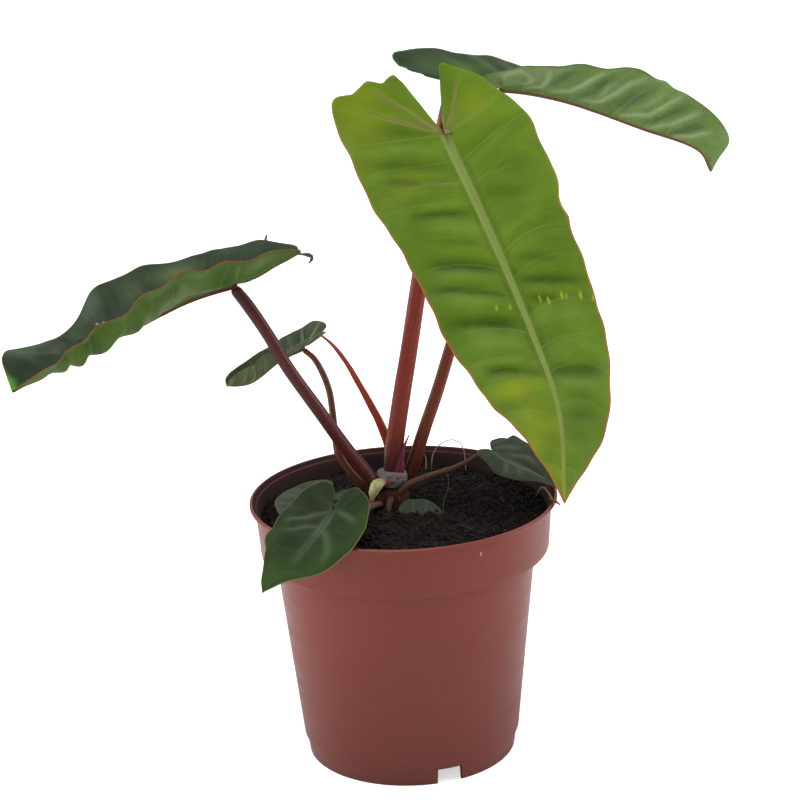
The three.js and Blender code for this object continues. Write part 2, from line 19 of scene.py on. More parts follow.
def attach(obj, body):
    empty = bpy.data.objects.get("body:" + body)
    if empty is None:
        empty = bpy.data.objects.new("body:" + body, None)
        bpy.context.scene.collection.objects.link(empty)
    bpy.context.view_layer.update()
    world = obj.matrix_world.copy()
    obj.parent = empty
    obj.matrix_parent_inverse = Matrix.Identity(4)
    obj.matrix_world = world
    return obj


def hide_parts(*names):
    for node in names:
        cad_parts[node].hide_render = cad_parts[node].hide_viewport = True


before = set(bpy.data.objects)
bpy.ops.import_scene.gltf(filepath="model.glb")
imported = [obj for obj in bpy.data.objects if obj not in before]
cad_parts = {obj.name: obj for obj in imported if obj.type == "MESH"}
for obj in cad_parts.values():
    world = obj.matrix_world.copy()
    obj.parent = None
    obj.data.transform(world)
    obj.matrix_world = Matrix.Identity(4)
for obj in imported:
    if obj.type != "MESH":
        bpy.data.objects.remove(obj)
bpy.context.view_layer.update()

LOG = logging.getLogger("philodendron")
MM = 0.001
POT_AXIS = np.array((8.0, 6.5, 0.0))
LINE_STEPS = 240  # samples of a smooth line
FAN_START = 0.34  # share of the lobe's edge that lies before its first row
FAN_END = 0.35  # share of the lobe's length at which its rows stop fanning
COLUMN_CROWDING = 1.35  # how much closer a blade's columns stand at the rib than at the margin
VEIN_BOW = 0.1  # how far a side vein bows toward the tip, in rib lengths
VEIN_SWAY = 0.16  # how far side veins stray from even spacing, in spacings
FINE_VEINS = 5.0  # fine veins to each side vein

Colour = tuple[float, float, float]
Point = tuple[float, float, float]
Pair = tuple[float, float]
Side = tuple[Colour, Colour, Colour, Colour]
Run = tuple[float, ...]
Array = np.ndarray
Faces = Sequence[Sequence[int]]
Feed = Union[NodeSocket, float, Sequence[float]]


# ---- small helpers ----
def eased(values: Sequence[float], share: Array | float) -> Array:
    """Reads numbers that stand at even steps, eased between neighbours.

    Args:
        values: the numbers, at even steps.
        share: where to read, 0 at the first number and 1 at the last.

    Returns:
        The value at each share.
    """
    numbers = np.asarray(values, float)
    place = np.clip(share, 0, 1) * (len(numbers) - 1)
    low = np.minimum(np.floor(place).astype(int), len(numbers) - 2)
    part = place - low
    return numbers[low] + (numbers[low + 1] - numbers[low]) * part * part * (3 - 2 * part)


def unit(vectors: Array) -> Array:
    """Vectors of length 1 along the last axis."""
    return vectors / np.maximum(np.linalg.norm(vectors, axis=-1, keepdims=True), 1e-12)


def step_up(low: float, high: float, value: Array) -> Array:
    """Smooth step from 0 at low to 1 at high."""
    share = np.clip((value - low) / (high - low), 0, 1)
    return share * share * (3 - 2 * share)


class SmoothLine:
    """A centripetal curve through points, read by length and running straight on past its ends."""

    def __init__(self, points: Iterable[Sequence[float]]) -> None:
        """Samples the curve.

        Args:
            points: the points it passes through, in two or three dimensions.
        """
        self.points = np.array([tuple(p) for p in points], float)
        raw = self._curve(np.linspace(0, 1, LINE_STEPS + 1))
        steps = np.linalg.norm(np.diff(raw, axis=0), axis=1)
        self.lengths = np.concatenate([[0], np.cumsum(steps)])
        self.length = float(self.lengths[-1])
        even = np.linspace(0, self.length, LINE_STEPS + 1)
        self.samples = self._curve(np.interp(even, self.lengths, np.linspace(0, 1, LINE_STEPS + 1)))

    def _curve(self, shares: Array) -> Array:
        """Points at shares of the control points' count."""
        p = self.points
        ends = np.vstack([2 * p[0] - p[1], p, 2 * p[-1] - p[-2]])
        place = shares * (len(p) - 1)
        low = np.minimum(place.astype(int), len(p) - 2)
        t = (place - low)[:, None]
        x0, x1, x2, x3 = (ends[low + i] for i in range(4))
        d0, d1, d2 = (np.linalg.norm(b - a, axis=1, keepdims=True) ** 0.5
                      for a, b in ((x0, x1), (x1, x2), (x2, x3)))
        t1 = ((x1 - x0) / d0 - (x2 - x0) / (d0 + d1) + (x2 - x1) / d1) * d1
        t2 = ((x2 - x1) / d1 - (x3 - x1) / (d1 + d2) + (x3 - x2) / d2) * d1
        return (x1 + t1 * t + (3 * (x2 - x1) - 2 * t1 - t2) * t ** 2
                + (2 * (x1 - x2) + t1 + t2) * t ** 3)

    def length_at(self, index: int) -> float:
        """Length of the curve up to one of its points."""
        return float(self.lengths[round(LINE_STEPS * index / (len(self.points) - 1))])

    def at(self, distance: Array | float) -> Array:
        """Points at distances along the curve."""
        place = np.asarray(distance, float) / self.length * LINE_STEPS
        low = np.clip(np.floor(place).astype(int), 0, LINE_STEPS - 1)
        share = (place - low)[..., None]
        return self.samples[low] + (self.samples[low + 1] - self.samples[low]) * share


def outward(points: Array, faces: Faces) -> Faces:
    """Turns a closed shell's faces over where its volume comes out negative.

    Args:
        points: the shell's points.
        faces: its faces, all wound the same way.

    Returns:
        The faces, wound so that they point outwards.
    """
    volume = 0.0
    for face in faces:
        for i in range(1, len(face) - 1):
            volume += float(np.dot(points[face[0]], np.cross(points[face[i]], points[face[i + 1]])))
    return [tuple(face) if volume > 0 else tuple(reversed(face)) for face in faces]


def ring_faces(count: int, n: int) -> Faces:
    """Faces of a closed tube of rings of n points, with a flat cap at each end."""
    faces = [(i * n + j, i * n + (j + 1) % n, (i + 1) * n + (j + 1) % n, (i + 1) * n + j)
             for i in range(count - 1) for j in range(n)]
    return [*faces, tuple(reversed(range(n))), tuple((count - 1) * n + j for j in range(n))]


def mesh_from(name: str, points: Array, faces: Faces,
              marks: dict[str, Array] | None = None, sharp_angle: float = 180) -> Mesh:
    """Makes a smooth-shaded mesh from points in the pot's millimetres.

    Args:
        name: the mesh's name.
        points: its points, in millimetres about the pot's axis.
        faces: its faces.
        marks: numbers or vectors kept at each point, by attribute name.
        sharp_angle: degrees past which an edge is drawn sharp.

    Returns:
        The mesh, in metres in the shared frame.
    """
    mesh = bpy.data.meshes.new(name)
    mesh.from_pydata((np.asarray(points) + POT_AXIS) * MM, [], [tuple(f) for f in faces])
    for key, values in (marks or {}).items():
        values = np.asarray(values, np.float32)
        kind, slot_name = ("FLOAT", "value") if values.ndim == 1 else ("FLOAT_VECTOR", "vector")
        mesh.attributes.new(key, kind, "POINT").data.foreach_set(slot_name, values.ravel())
    mesh.shade_smooth()
    if sharp_angle < 180:
        mesh.set_sharp_from_angle(angle=math.radians(sharp_angle))
    mesh.update()
    return mesh


def new_object(mesh: Mesh, name: str) -> Object:
    """Puts a mesh in the scene as an object at the origin."""
    obj = bpy.data.objects.new(name, mesh)
    bpy.context.scene.collection.objects.link(obj)
    return obj


def add_piece(mesh: Mesh, name: str, slot: str, material: Material | None,
              *replaced: str) -> Object:
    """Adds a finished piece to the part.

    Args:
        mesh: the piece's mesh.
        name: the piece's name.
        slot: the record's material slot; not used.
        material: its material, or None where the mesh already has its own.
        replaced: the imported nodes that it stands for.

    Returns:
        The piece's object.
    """
    if material is not None:
        mesh.materials.clear()
        mesh.materials.append(material)
    obj = new_object(mesh, name)
    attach(obj, "root")
    if replaced:
        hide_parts(*replaced)
    LOG.info("%s: %d faces, stands for %s", name, len(mesh.polygons),
             ", ".join(replaced) or "itself")
    return obj


def settled(obj: Object, name: str) -> Mesh:
    """Turns an object with modifiers into a plain mesh and removes the object.

    Args:
        obj: the object whose evaluated shape is kept.
        name: name of the new mesh.

    Returns:
        The plain mesh.
    """
    seen = obj.evaluated_get(bpy.context.evaluated_depsgraph_get())
    mesh = bpy.data.meshes.new_from_object(seen)
    mesh.name = name
    bpy.data.objects.remove(obj)
    return mesh


# ---- node trees ----
class Graph:
    """Builds a node tree in few words."""

    def __init__(self, tree: NodeTree) -> None:
        """Starts on a tree, emptied of its nodes."""
        self.tree = tree
        tree.nodes.clear()

    def add(self, kind: str, inputs: dict[str | int, Feed] | None = None, **settings: object):
        """Adds a node.

        Args:
            kind: the node's type name.
            inputs: values or sockets for its inputs, by name or index.
            settings: its properties.

        Returns:
            The node.
        """
        node = self.tree.nodes.new(kind)
        for key, value in settings.items():
            setattr(node, key, value)
        for key, value in (inputs or {}).items():
            self.feed(node.inputs[key], value)
        return node

    def feed(self, socket: NodeSocket, value: Feed) -> None:
        """Links a socket into an input, or sets the input's value."""
        if isinstance(value, NodeSocket):
            self.tree.links.new(value, socket)
        elif isinstance(value, (tuple, list)) and socket.type == "RGBA" and len(value) == 3:
            socket.default_value = (*value, 1.0)
        else:
            socket.default_value = value

    def math(self, operation: str, a: Feed, b: Feed = 0.0, clamp: bool = False):
        """Adds a Math node and returns its output."""
        node = self.add("ShaderNodeMath", {0: a, 1: b}, operation=operation, use_clamp=clamp)
        return node.outputs[0]

    def times(self, a: Feed, b: Feed, clamp: bool = False):
        """Product of two values."""
        return self.math("MULTIPLY", a, b, clamp)

    def plus(self, a: Feed, b: Feed, clamp: bool = False):
        """Sum of two values."""
        return self.math("ADD", a, b, clamp)

    def minus(self, a: Feed, b: Feed):
        """Difference of two values."""
        return self.math("SUBTRACT", a, b)

    def vector(self, operation: str, a: Feed, b: Feed = (0.0, 0.0, 0.0), part: int | str = 0):
        """Adds a Vector Math node and returns one of its outputs."""
        node = self.add("ShaderNodeVectorMath", {0: a, 1: b}, operation=operation)
        return node.outputs[part]

    def ramp(self, value: Feed, low: Feed, high: Feed, start: float = 0.0, end: float = 1.0):
        """Adds a smooth Map Range node and returns its output."""
        node = self.add("ShaderNodeMapRange", {"Value": value, "From Min": low, "From Max": high,
                                               "To Min": start, "To Max": end},
                        interpolation_type="SMOOTHSTEP")
        return node.outputs["Result"]

    def blend(self, share: Feed, a: Feed, b: Feed, kind: str = "MIX"):
        """Adds a colour Mix node and returns its output."""
        node = self.add("ShaderNodeMix", data_type="RGBA", blend_type=kind)
        self.feed(node.inputs[0], share)
        self.feed(node.inputs[6], a)
        self.feed(node.inputs[7], b)
        return node.outputs[2]

    def mark(self, name: str, part: str = "Fac"):
        """Reads one of the mesh's marks."""
        return self.add("ShaderNodeAttribute", attribute_name=name).outputs[part]

    def place(self):
        """The Object coordinates."""
        return self.add("ShaderNodeTexCoord").outputs["Object"]


def group_tree(name: str, ins: dict[str, tuple[str, object]], outs: dict[str, str],
               kind: str = "ShaderNodeTree") -> tuple[Graph, object, object]:
    """Makes an empty node group with named sockets.

    Args:
        name: the group's name.
        ins: its inputs, each a socket type and a default value.
        outs: its outputs, each a socket type.
        kind: the tree's type name.

    Returns:
        The graph, the input node's outputs and the output node's inputs.
    """
    tree = bpy.data.node_groups.new(name, kind)
    for key, (socket_type, default) in ins.items():
        socket = tree.interface.new_socket(key, in_out="INPUT", socket_type=socket_type)
        if default is not None:
            socket.default_value = default
    for key, socket_type in outs.items():
        tree.interface.new_socket(key, in_out="OUTPUT", socket_type=socket_type)
    graph = Graph(tree)
    return graph, graph.add("NodeGroupInput").outputs, graph.add("NodeGroupOutput").inputs


class Effects:
    """Shader node groups that several finishes share, and the materials made with them."""

    def __init__(self) -> None:
        """Builds every group."""
        self.mottle, self.lines, self.cells = self._mottle(), self._lines(), self._cells()
        self.made: dict[str, Material] = {}

    def dress(self, finish: "LeafFinish | StalkFinish | GroundFinish | MouldedFinish"
              ) -> Material:
        """A finish's material, built when it is first asked for."""
        if finish.name not in self.made:
            self.made[finish.name] = finish.material(self)
        return self.made[finish.name]

    def mottled(self, graph: Graph, place: Feed, scale: float, contrast: float,
                detail: float = 4.0):
        """Soft uneven patches on a material, as a mask."""
        return placed(graph, self.mottle, {"Vector": place, "Scale": scale, "Detail": detail,
                                           "Contrast": contrast})

    @staticmethod
    def _mottle() -> NodeTree:
        """Soft uneven patches: 0 in one tone and 1 in the other."""
        g, ins, outs = group_tree(
            "mottle", {"Vector": ("NodeSocketVector", None), "Scale": ("NodeSocketFloat", 60.0),
                       "Detail": ("NodeSocketFloat", 4.0), "Contrast": ("NodeSocketFloat", 0.3)},
            {"Mask": "NodeSocketFloat"})
        noise = g.add("ShaderNodeTexNoise", {"Vector": ins["Vector"], "Scale": ins["Scale"],
                                             "Detail": ins["Detail"], "Roughness": 0.6})
        low = g.minus(0.5, ins["Contrast"])
        high = g.plus(0.5, ins["Contrast"])
        g.feed(outs["Mask"], g.ramp(noise.outputs["Fac"], low, high))
        return g.tree

    @staticmethod
    def _lines() -> NodeTree:
        """Lines wherever a phase passes a whole number, of a width in millimetres."""
        g, ins, outs = group_tree(
            "lines", {"Phase": ("NodeSocketFloat", 0.0), "Pitch": ("NodeSocketFloat", 10.0),
                      "Width": ("NodeSocketFloat", 0.8)}, {"Mask": "NodeSocketFloat"})
        part = g.math("FRACT", g.plus(ins["Phase"], 0.5))
        away = g.times(g.math("ABSOLUTE", g.minus(part, 0.5)), ins["Pitch"])
        half = g.times(ins["Width"], 0.5)
        g.feed(outs["Mask"], g.minus(1.0, g.ramp(away, g.times(half, 0.25), half)))
        return g.tree

    @staticmethod
    def _cells() -> NodeTree:
        """Height of a fine net of small cells."""
        g, ins, outs = group_tree(
            "cells", {"Vector": ("NodeSocketVector", None), "Scale": ("NodeSocketFloat", 700.0)},
            {"Height": "NodeSocketFloat"})
        net = g.add("ShaderNodeTexVoronoi", {"Vector": ins["Vector"], "Scale": ins["Scale"]},
                    feature="DISTANCE_TO_EDGE")
        g.feed(outs["Height"], g.ramp(net.outputs["Distance"], 0.0, 0.25))
        return g.tree


def placed(graph: Graph, tree: NodeTree, inputs: dict[str, Feed]):
    """Places a node group and returns its first output."""
    node = graph.add("ShaderNodeGroup", node_tree=tree)
    for key, value in inputs.items():
        graph.feed(node.inputs[key], value)
    return node.outputs[0]


def fresh_material(name: str) -> tuple[Material, Graph]:
    """An empty node material and its graph."""
    material = bpy.data.materials.new(name)
    material.use_nodes = True
    return material, Graph(material.node_tree)


def shaded(graph: Graph, colour: Feed, roughness: Feed, height: Feed | None = None,
           depth: float = 0.2, **sockets: float):
    """Adds a Principled BSDF with an optional bump.

    Args:
        graph: the material's graph.
        colour: base colour.
        roughness: roughness.
        height: height for the bump, 0 to 1.
        depth: how far the bump rises, in millimetres.
        sockets: values set on the shader's own sockets, by name with underscores.

    Returns:
        The shader's output.
    """
    node = graph.add("ShaderNodeBsdfPrincipled", {"Base Color": colour, "Roughness": roughness})
    for key, value in sockets.items():
        graph.feed(node.inputs[key.replace("_", " ")], value)
    if height is not None:
        bump = graph.add("ShaderNodeBump", {"Height": height, "Distance": depth * MM,
                                            "Strength": 1.0})
        graph.feed(node.inputs["Normal"], bump.outputs["Normal"])
    return node.outputs[0]


def close_material(graph: Graph, shader: NodeSocket) -> None:
    """Sends a shader to the material's output."""
    graph.add("ShaderNodeOutputMaterial", {"Surface": shader})


# ---- finishes ----
class Tint(Enum):
    """The looks of patches on a blade, as the marks the shader reads, in the order of painting."""

    DEEP = "deep"
    # pale patches: a paler skin colour, and on the left blade's upper side also painted sheen
    PALE = "pale"
    WARM = "warm"
    TAN = "tan"
    DRY = "dry"
    SCRATCH = "scratch"


SOFT_TINTS = (Tint.WARM, Tint.DEEP, Tint.PALE)


@dataclass(frozen=True)
class LeafFinish:
    """Colours of one leaf: two sides (main, painted fold shade, vein and midrib) and its margin."""

    name: str
    upper: Side
    under: Side
    margin: Colour
    glow: Colour
    thinness: float = 0.25
    vein_width: float = 0.9
    margin_width: float = 0.8
    roughness: float = 0.42
    # how dark the painted shade in the creases is
    painted_crease_shade: float = 0.8
    gloss: float = 0.2
    banding: float = 0.35
    fineness: float = 0.12
    scratch: Colour = (0.5, 0.52, 0.03)
    warm: Colour = (0.3, 0.34, 0.01)
    dry: Colour = (0.12, 0.07, 0.04)
    deep: Colour = (0.06, 0.12, 0.006)
    pale: Colour = (0.22, 0.3, 0.1)
    tan: Colour = (0.27, 0.2, 0.075)

    def material(self, effects: Effects) -> Material:
        """Builds the material.

        Args:
            effects: the shared node groups.

        Returns:
            A material that reads the leaf's own marks.
        """
        material, g = fresh_material(self.name)
        place, phase, pitch = g.place(), g.mark("phase"), g.mark("pitch")
        patches = effects.mottled(g, place, 70.0, 0.22)
        broad = effects.mottled(g, place, 18.0, 0.2, 2.0)
        lines = placed(g, effects.lines, {"Phase": phase, "Pitch": pitch, "Width": self.vein_width})
        veins = g.times(lines, g.mark("vein"), clamp=True)
        # pale stroke lines (crest mark) take the vein colour: painted highlights on ridges, and
        # pale veins
        raised = g.math("MAXIMUM", veins, g.mark("crest"))
        along = g.add("ShaderNodeCombineXYZ", {"X": phase, "Y": g.times(g.mark("rib"), 0.07)})
        spot = g.vector("ADD", g.vector("MULTIPLY", place, (14.0, 14.0, 14.0)), along.outputs[0])
        bands = effects.mottled(g, spot, 1.5, 0.26, 3.0)
        fine = placed(g, effects.lines, {"Phase": g.times(phase, FINE_VEINS),
                                         "Pitch": g.times(pitch, 1 / FINE_VEINS), "Width": 0.7})
        net = placed(g, effects.cells, {"Vector": place, "Scale": 900.0})
        threads = g.minus(1.0, net)
        faint = g.plus(g.times(fine, self.fineness), g.times(threads, 0.1))
        rib = g.ramp(g.mark("rib"), 0.7, 1.15, 1.0, 0.0)
        edge = g.ramp(g.mark("edge"), self.margin_width * 0.35, self.margin_width, 0.85, 0.0)
        clouds = g.times(g.times(patches, broad), 0.3)
        clouds = g.plus(clouds, g.times(bands, self.banding))
        # painted shade: creases take the fold colour, as do soft bands along the veins that paint
        # the quilting's light and shade, with random darker clouds
        tone = g.plus(g.times(g.mark("crease"), self.painted_crease_shade), clouds, clamp=True)
        tops = self._side(g, self.upper, tone, raised, faint, rib)
        bottoms = self._side(g, self.under, tone, raised, faint, rib)
        colour = g.blend(g.ramp(g.mark("upper"), 0.35, 0.65), bottoms, tops)
        for tint in Tint:
            share = g.times(g.mark(tint.value), g.ramp(bands, 0.0, 1.0, 0.95, 0.65))
            colour = g.blend(share, colour, getattr(self, tint.value))
        colour = g.blend(g.times(edge, g.mark("rim")), colour, self.margin)
        height = g.plus(g.times(veins, -0.5), g.times(net, 0.2))
        height = g.plus(height, g.times(fine, -0.15))
        rough = g.ramp(patches, 0.0, 1.0, self.roughness - 0.06, self.roughness + 0.08)
        skin = shaded(g, colour, rough, height, 0.12, Specular_IOR_Level=self.gloss)
        # painted shade: the light let through turns to the upper fold colour at the creases, and
        # also at the midrib and the deep patches
        solid = g.math("MAXIMUM", g.mark("crease"), g.ramp(g.mark("rib"), 0.7, 1.15, 0.6, 0.0))
        lit = g.blend(g.math("MAXIMUM", solid, g.mark("deep")), self.glow, self.upper[1])
        through = g.add("ShaderNodeBsdfTranslucent", {"Color": lit}).outputs[0]
        mixed = g.add("ShaderNodeMixShader", {0: self.thinness, 1: skin, 2: through})
        close_material(g, mixed.outputs[0])
        return material

    @staticmethod
    def _side(g: Graph, colours: Side, tone: Feed, veins: Feed, faint: Feed, rib: Feed):
        """Colour of one side of the leaf.

        Args:
            g: the material's graph.
            colours: main, painted fold shade, vein and midrib colours.
            tone: mask of the painted shade in creases and quilting, and of darker clouds.
            veins: mask of the lateral veins, and of pale lines: pale veins and painted highlights
                on ridges.
            faint: mask of the fine veins.
            rib: mask of the midrib.

        Returns:
            The colour's socket.
        """
        base, fold, vein, midrib = colours
        # painted shade: the fold colour is laid where the tone mask says
        colour = g.blend(tone, base, fold)
        colour = g.blend(faint, colour, vein)
        colour = g.blend(veins, colour, vein)
        return g.blend(rib, colour, midrib)


@dataclass(frozen=True)
class StalkFinish:
    """Satin skin of a stalk or sheath, with lengthwise streaks and a second colour at its ends."""

    name: str
    skin: Colour
    streak: Colour
    foot: Colour
    head: Colour
    roughness: float = 0.38
    flecks: float = 0.25
    head_from: float = 0.8

    def material(self, effects: Effects) -> Material:
        """Builds the material from the tube's own marks.

        Args:
            effects: the shared node groups.

        Returns:
            The material.
        """
        material, g = fresh_material(self.name)
        skin_place = g.mark("skin", "Vector")
        streaks = effects.mottled(g, skin_place, 900.0, 0.25)
        flecks = effects.mottled(g, g.place(), 1100.0, 0.1, 2.0)
        along = g.mark("along")
        colour = g.blend(g.times(streaks, 0.6), self.skin, self.streak)
        colour = g.blend(g.ramp(along, 0.0, 0.22, 1.0, 0.0), colour, self.foot)
        colour = g.blend(g.ramp(along, self.head_from, 1.0), colour, self.head)
        colour = g.blend(g.times(flecks, self.flecks), colour, self.streak, "MULTIPLY")
        rough = g.ramp(streaks, 0.0, 1.0, self.roughness - 0.06, self.roughness + 0.1)
        close_material(g, shaded(g, colour, rough, streaks, 0.06, Specular_IOR_Level=0.25))
        return material


@dataclass(frozen=True)
class GroundFinish:
    """Rough, mottled matter such as peat, bark or a leaf scar."""

    name: str
    dark: Colour
    pale: Colour
    speck: Colour
    grain: float = 900.0
    specks: float = 0.12
    depth: float = 0.5
    roughness: float = 0.9

    def material(self, effects: Effects) -> Material:
        """Builds the material.

        Args:
            effects: the shared node groups.

        Returns:
            The material.
        """
        material, g = fresh_material(self.name)
        place = g.place()
        grain = effects.mottled(g, place, self.grain, 0.25)
        broad = effects.mottled(g, place, self.grain * 0.2, 0.2)
        flakes = g.add("ShaderNodeTexNoise", {"Vector": place, "Scale": self.grain * 1.7,
                                              "Detail": 1.0})
        specks = g.ramp(flakes.outputs["Fac"], 0.78 - self.specks, 0.8)
        colour = g.blend(g.times(g.plus(grain, broad), 0.5), self.dark, self.pale)
        colour = g.blend(specks, colour, self.speck)
        close_material(g, shaded(g, colour, self.roughness, g.plus(grain, broad), self.depth,
                                 Specular_IOR_Level=0.12))
        return material


@dataclass(frozen=True)
class Scuff:
    """A small mark on moulded plastic, about the pot's axis, in millimetres."""

    place: Point
    half_width: float
    half_height: float
    colour: Colour


@dataclass(frozen=True)
class MouldedFinish:
    """Satin moulded plastic with a fine skin, faint flow marks, painted shade on its inside wall
    and painted shade that darkens it towards the foot.

    inside_shade_from: height and radius that part the inside wall, painted as shade, from the
    outside, in metres.
    inside_shade_flare: how fast that radius grows with height.
    lip: heights between which it runs out over the lip, and how far.
    """

    name: str
    plastic: Colour
    worn: Colour
    # painted shade: the near black that the inside wall above the peat is blended to
    painted_inside_shade: Colour = (0.011, 0.005, 0.005)
    # painted shade: the colour that the pot darkens to towards its foot
    painted_low_shade: Colour = (0.07, 0.018, 0.013)
    roughness: float = 0.38
    inside_shade_from: Pair = (0.0846, 0.0559)
    inside_shade_flare: float = 0.081
    lip: Point = (0.1032, 0.1042, 0.0014)
    scuffs: tuple[Scuff, ...] = ()

    def material(self, effects: Effects) -> Material:
        """Builds the material.

        Args:
            effects: the shared node groups.

        Returns:
            The material.
        """
        material, g = fresh_material(self.name)
        place = g.place()
        cloud = effects.mottled(g, place, 28.0, 0.25)
        stretch = g.add("ShaderNodeMapping", {"Vector": place, "Scale": (1.0, 1.0, 9.0)}).outputs[0]
        flow = effects.mottled(g, stretch, 30.0, 0.3)
        skin = effects.mottled(g, place, 1500.0, 0.4, 2.0)
        colour = g.blend(g.times(cloud, 0.35), self.plastic, self.worn)
        colour = g.blend(g.times(flow, 0.14), colour, self.worn)
        centred = g.vector("SUBTRACT", place, tuple(POT_AXIS * MM))
        parts = g.add("ShaderNodeSeparateXYZ", {0: centred}).outputs
        flat = g.add("ShaderNodeCombineXYZ", {"X": parts["X"], "Y": parts["Y"]}).outputs[0]
        radius = g.vector("LENGTH", flat, part="Value")
        # painted shade: inside a radius that flares with height, above the peat line, the wall
        # turns near black
        foot, start = self.inside_shade_from
        rise = g.minus(parts["Z"], foot)
        wall = g.plus(g.times(rise, self.inside_shade_flare), start)
        wall = g.plus(wall, g.ramp(parts["Z"], self.lip[0], self.lip[1], 0.0, self.lip[2]))
        inner = g.ramp(g.minus(radius, wall), -0.3 * MM, 0.3 * MM, 1.0, 0.0)
        inner = g.times(inner, g.ramp(rise, 1.2 * MM, 2.2 * MM))
        colour = g.blend(g.times(inner, 0.95), colour, self.painted_inside_shade)
        # painted shade: the plastic darkens towards the foot
        low = g.ramp(parts["Z"], 0.0, 0.085, 0.35, 0.0)
        colour = g.blend(low, colour, self.painted_low_shade)
        for scuff in self.scuffs:
            spot = g.vector("SUBTRACT", centred, tuple(v * MM for v in scuff.place))
            reach = (1000 / scuff.half_width, 200.0, 1000 / scuff.half_height)
            away = g.vector("LENGTH", g.vector("MULTIPLY", spot, reach), part="Value")
            colour = g.blend(g.ramp(away, 0.5, 1.2, 0.8, 0.0), colour, scuff.colour)
        rough = g.ramp(g.plus(cloud, flow), 0.0, 2.0, self.roughness - 0.05,
                       self.roughness + 0.08)
        rough = g.plus(rough, g.times(inner, 0.5), clamp=True)
        close_material(g, shaded(g, colour, rough, skin, 0.035, Specular_IOR_Level=0.25))
        return material


BRIGHT_LEAF = LeafFinish(
    "bright_leaf",
    upper=((0.158, 0.26, 0.016), (0.038, 0.085, 0.002), (0.22, 0.33, 0.06), (0.26, 0.33, 0.08)),
    under=((0.2, 0.28, 0.05), (0.1, 0.17, 0.02), (0.26, 0.32, 0.12), (0.3, 0.2, 0.1)),
    margin=(0.46, 0.1, 0.03), glow=(0.28, 0.46, 0.004), thinness=0.28, vein_width=1.1,
    margin_width=0.9, roughness=0.44, painted_crease_shade=0.85, gloss=0.18, banding=0.38, fineness=0.08,
    warm=(0.3, 0.34, 0.005), deep=(0.05, 0.105, 0.002))
LEFT_LEAF = LeafFinish(
    "left_leaf",
    upper=((0.029, 0.05, 0.021), (0.009, 0.02, 0.008), (0.05, 0.075, 0.042), (0.07, 0.09, 0.05)),
    under=((0.09, 0.165, 0.022), (0.03, 0.07, 0.01), (0.16, 0.24, 0.075), (0.1, 0.02, 0.015)),
    margin=(0.2, 0.075, 0.04), glow=(0.12, 0.32, 0.012), thinness=0.16, vein_width=1.5,
    margin_width=0.4, roughness=0.48, painted_crease_shade=0.7, gloss=0.15, banding=0.5, fineness=0.08,
    scratch=(0.45, 0.45, 0.25), warm=(0.09, 0.45, 0.01), deep=(0.006, 0.014, 0.004),
    pale=(0.27, 0.34, 0.15))
RIGHT_LEAF = LeafFinish(
    "right_leaf",
    upper=((0.026, 0.048, 0.02), (0.01, 0.022, 0.009), (0.06, 0.09, 0.05), (0.08, 0.1, 0.05)),
    under=((0.165, 0.285, 0.055), (0.035, 0.095, 0.008), (0.5, 0.6, 0.33), (0.2, 0.075, 0.04)),
    margin=(0.1, 0.16, 0.05), glow=(0.2, 0.42, 0.02), thinness=0.18, vein_width=1.8,
    margin_width=0.35, roughness=0.46, painted_crease_shade=0.9, banding=0.28, fineness=0.05,
    warm=(0.08, 0.17, 0.02), deep=(0.008, 0.018, 0.008))
YOUNG_LEAF = LeafFinish(
    "young_leaf",
    upper=((0.016, 0.03, 0.008), (0.008, 0.014, 0.005), (0.12, 0.15, 0.09), (0.045, 0.06, 0.03)),
    under=((0.08, 0.13, 0.04), (0.045, 0.08, 0.022), (0.15, 0.2, 0.1), (0.2, 0.1, 0.07)),
    margin=(0.16, 0.15, 0.04), glow=(0.07, 0.18, 0.012), thinness=0.05, vein_width=2.6,
    margin_width=0.35, roughness=0.56, painted_crease_shade=0.6, gloss=0.08, banding=0.3, fineness=0.02,
    warm=(0.035, 0.085, 0.012), deep=(0.012, 0.018, 0.007))
SMALL_LEAF = replace(
    YOUNG_LEAF, name="small_leaf", thinness=0.1, vein_width=1.8, fineness=0.06,
    upper=((0.055, 0.08, 0.045), (0.018, 0.03, 0.015), (0.14, 0.17, 0.12), (0.045, 0.06, 0.03)),
    under=((0.13, 0.18, 0.08), (0.055, 0.09, 0.035), (0.26, 0.32, 0.18), (0.2, 0.1, 0.07)))
GREY_LEAF = LeafFinish(
    "grey_leaf",
    upper=((0.036, 0.05, 0.03), (0.02, 0.028, 0.018), (0.15, 0.17, 0.13), (0.06, 0.075, 0.05)),
    under=((0.09, 0.13, 0.05), (0.05, 0.08, 0.03), (0.14, 0.19, 0.1), (0.2, 0.1, 0.07)),
    margin=(0.09, 0.09, 0.055), glow=(0.1, 0.18, 0.03), thinness=0.06, vein_width=2.2,
    margin_width=0.35, roughness=0.56, painted_crease_shade=0.5, gloss=0.1, banding=0.2, fineness=0.02)


# ---- blades ----
class Half(Enum):
    """The two halves of a blade, seen from above with the tip ahead."""

    LEFT = -1
    RIGHT = 1


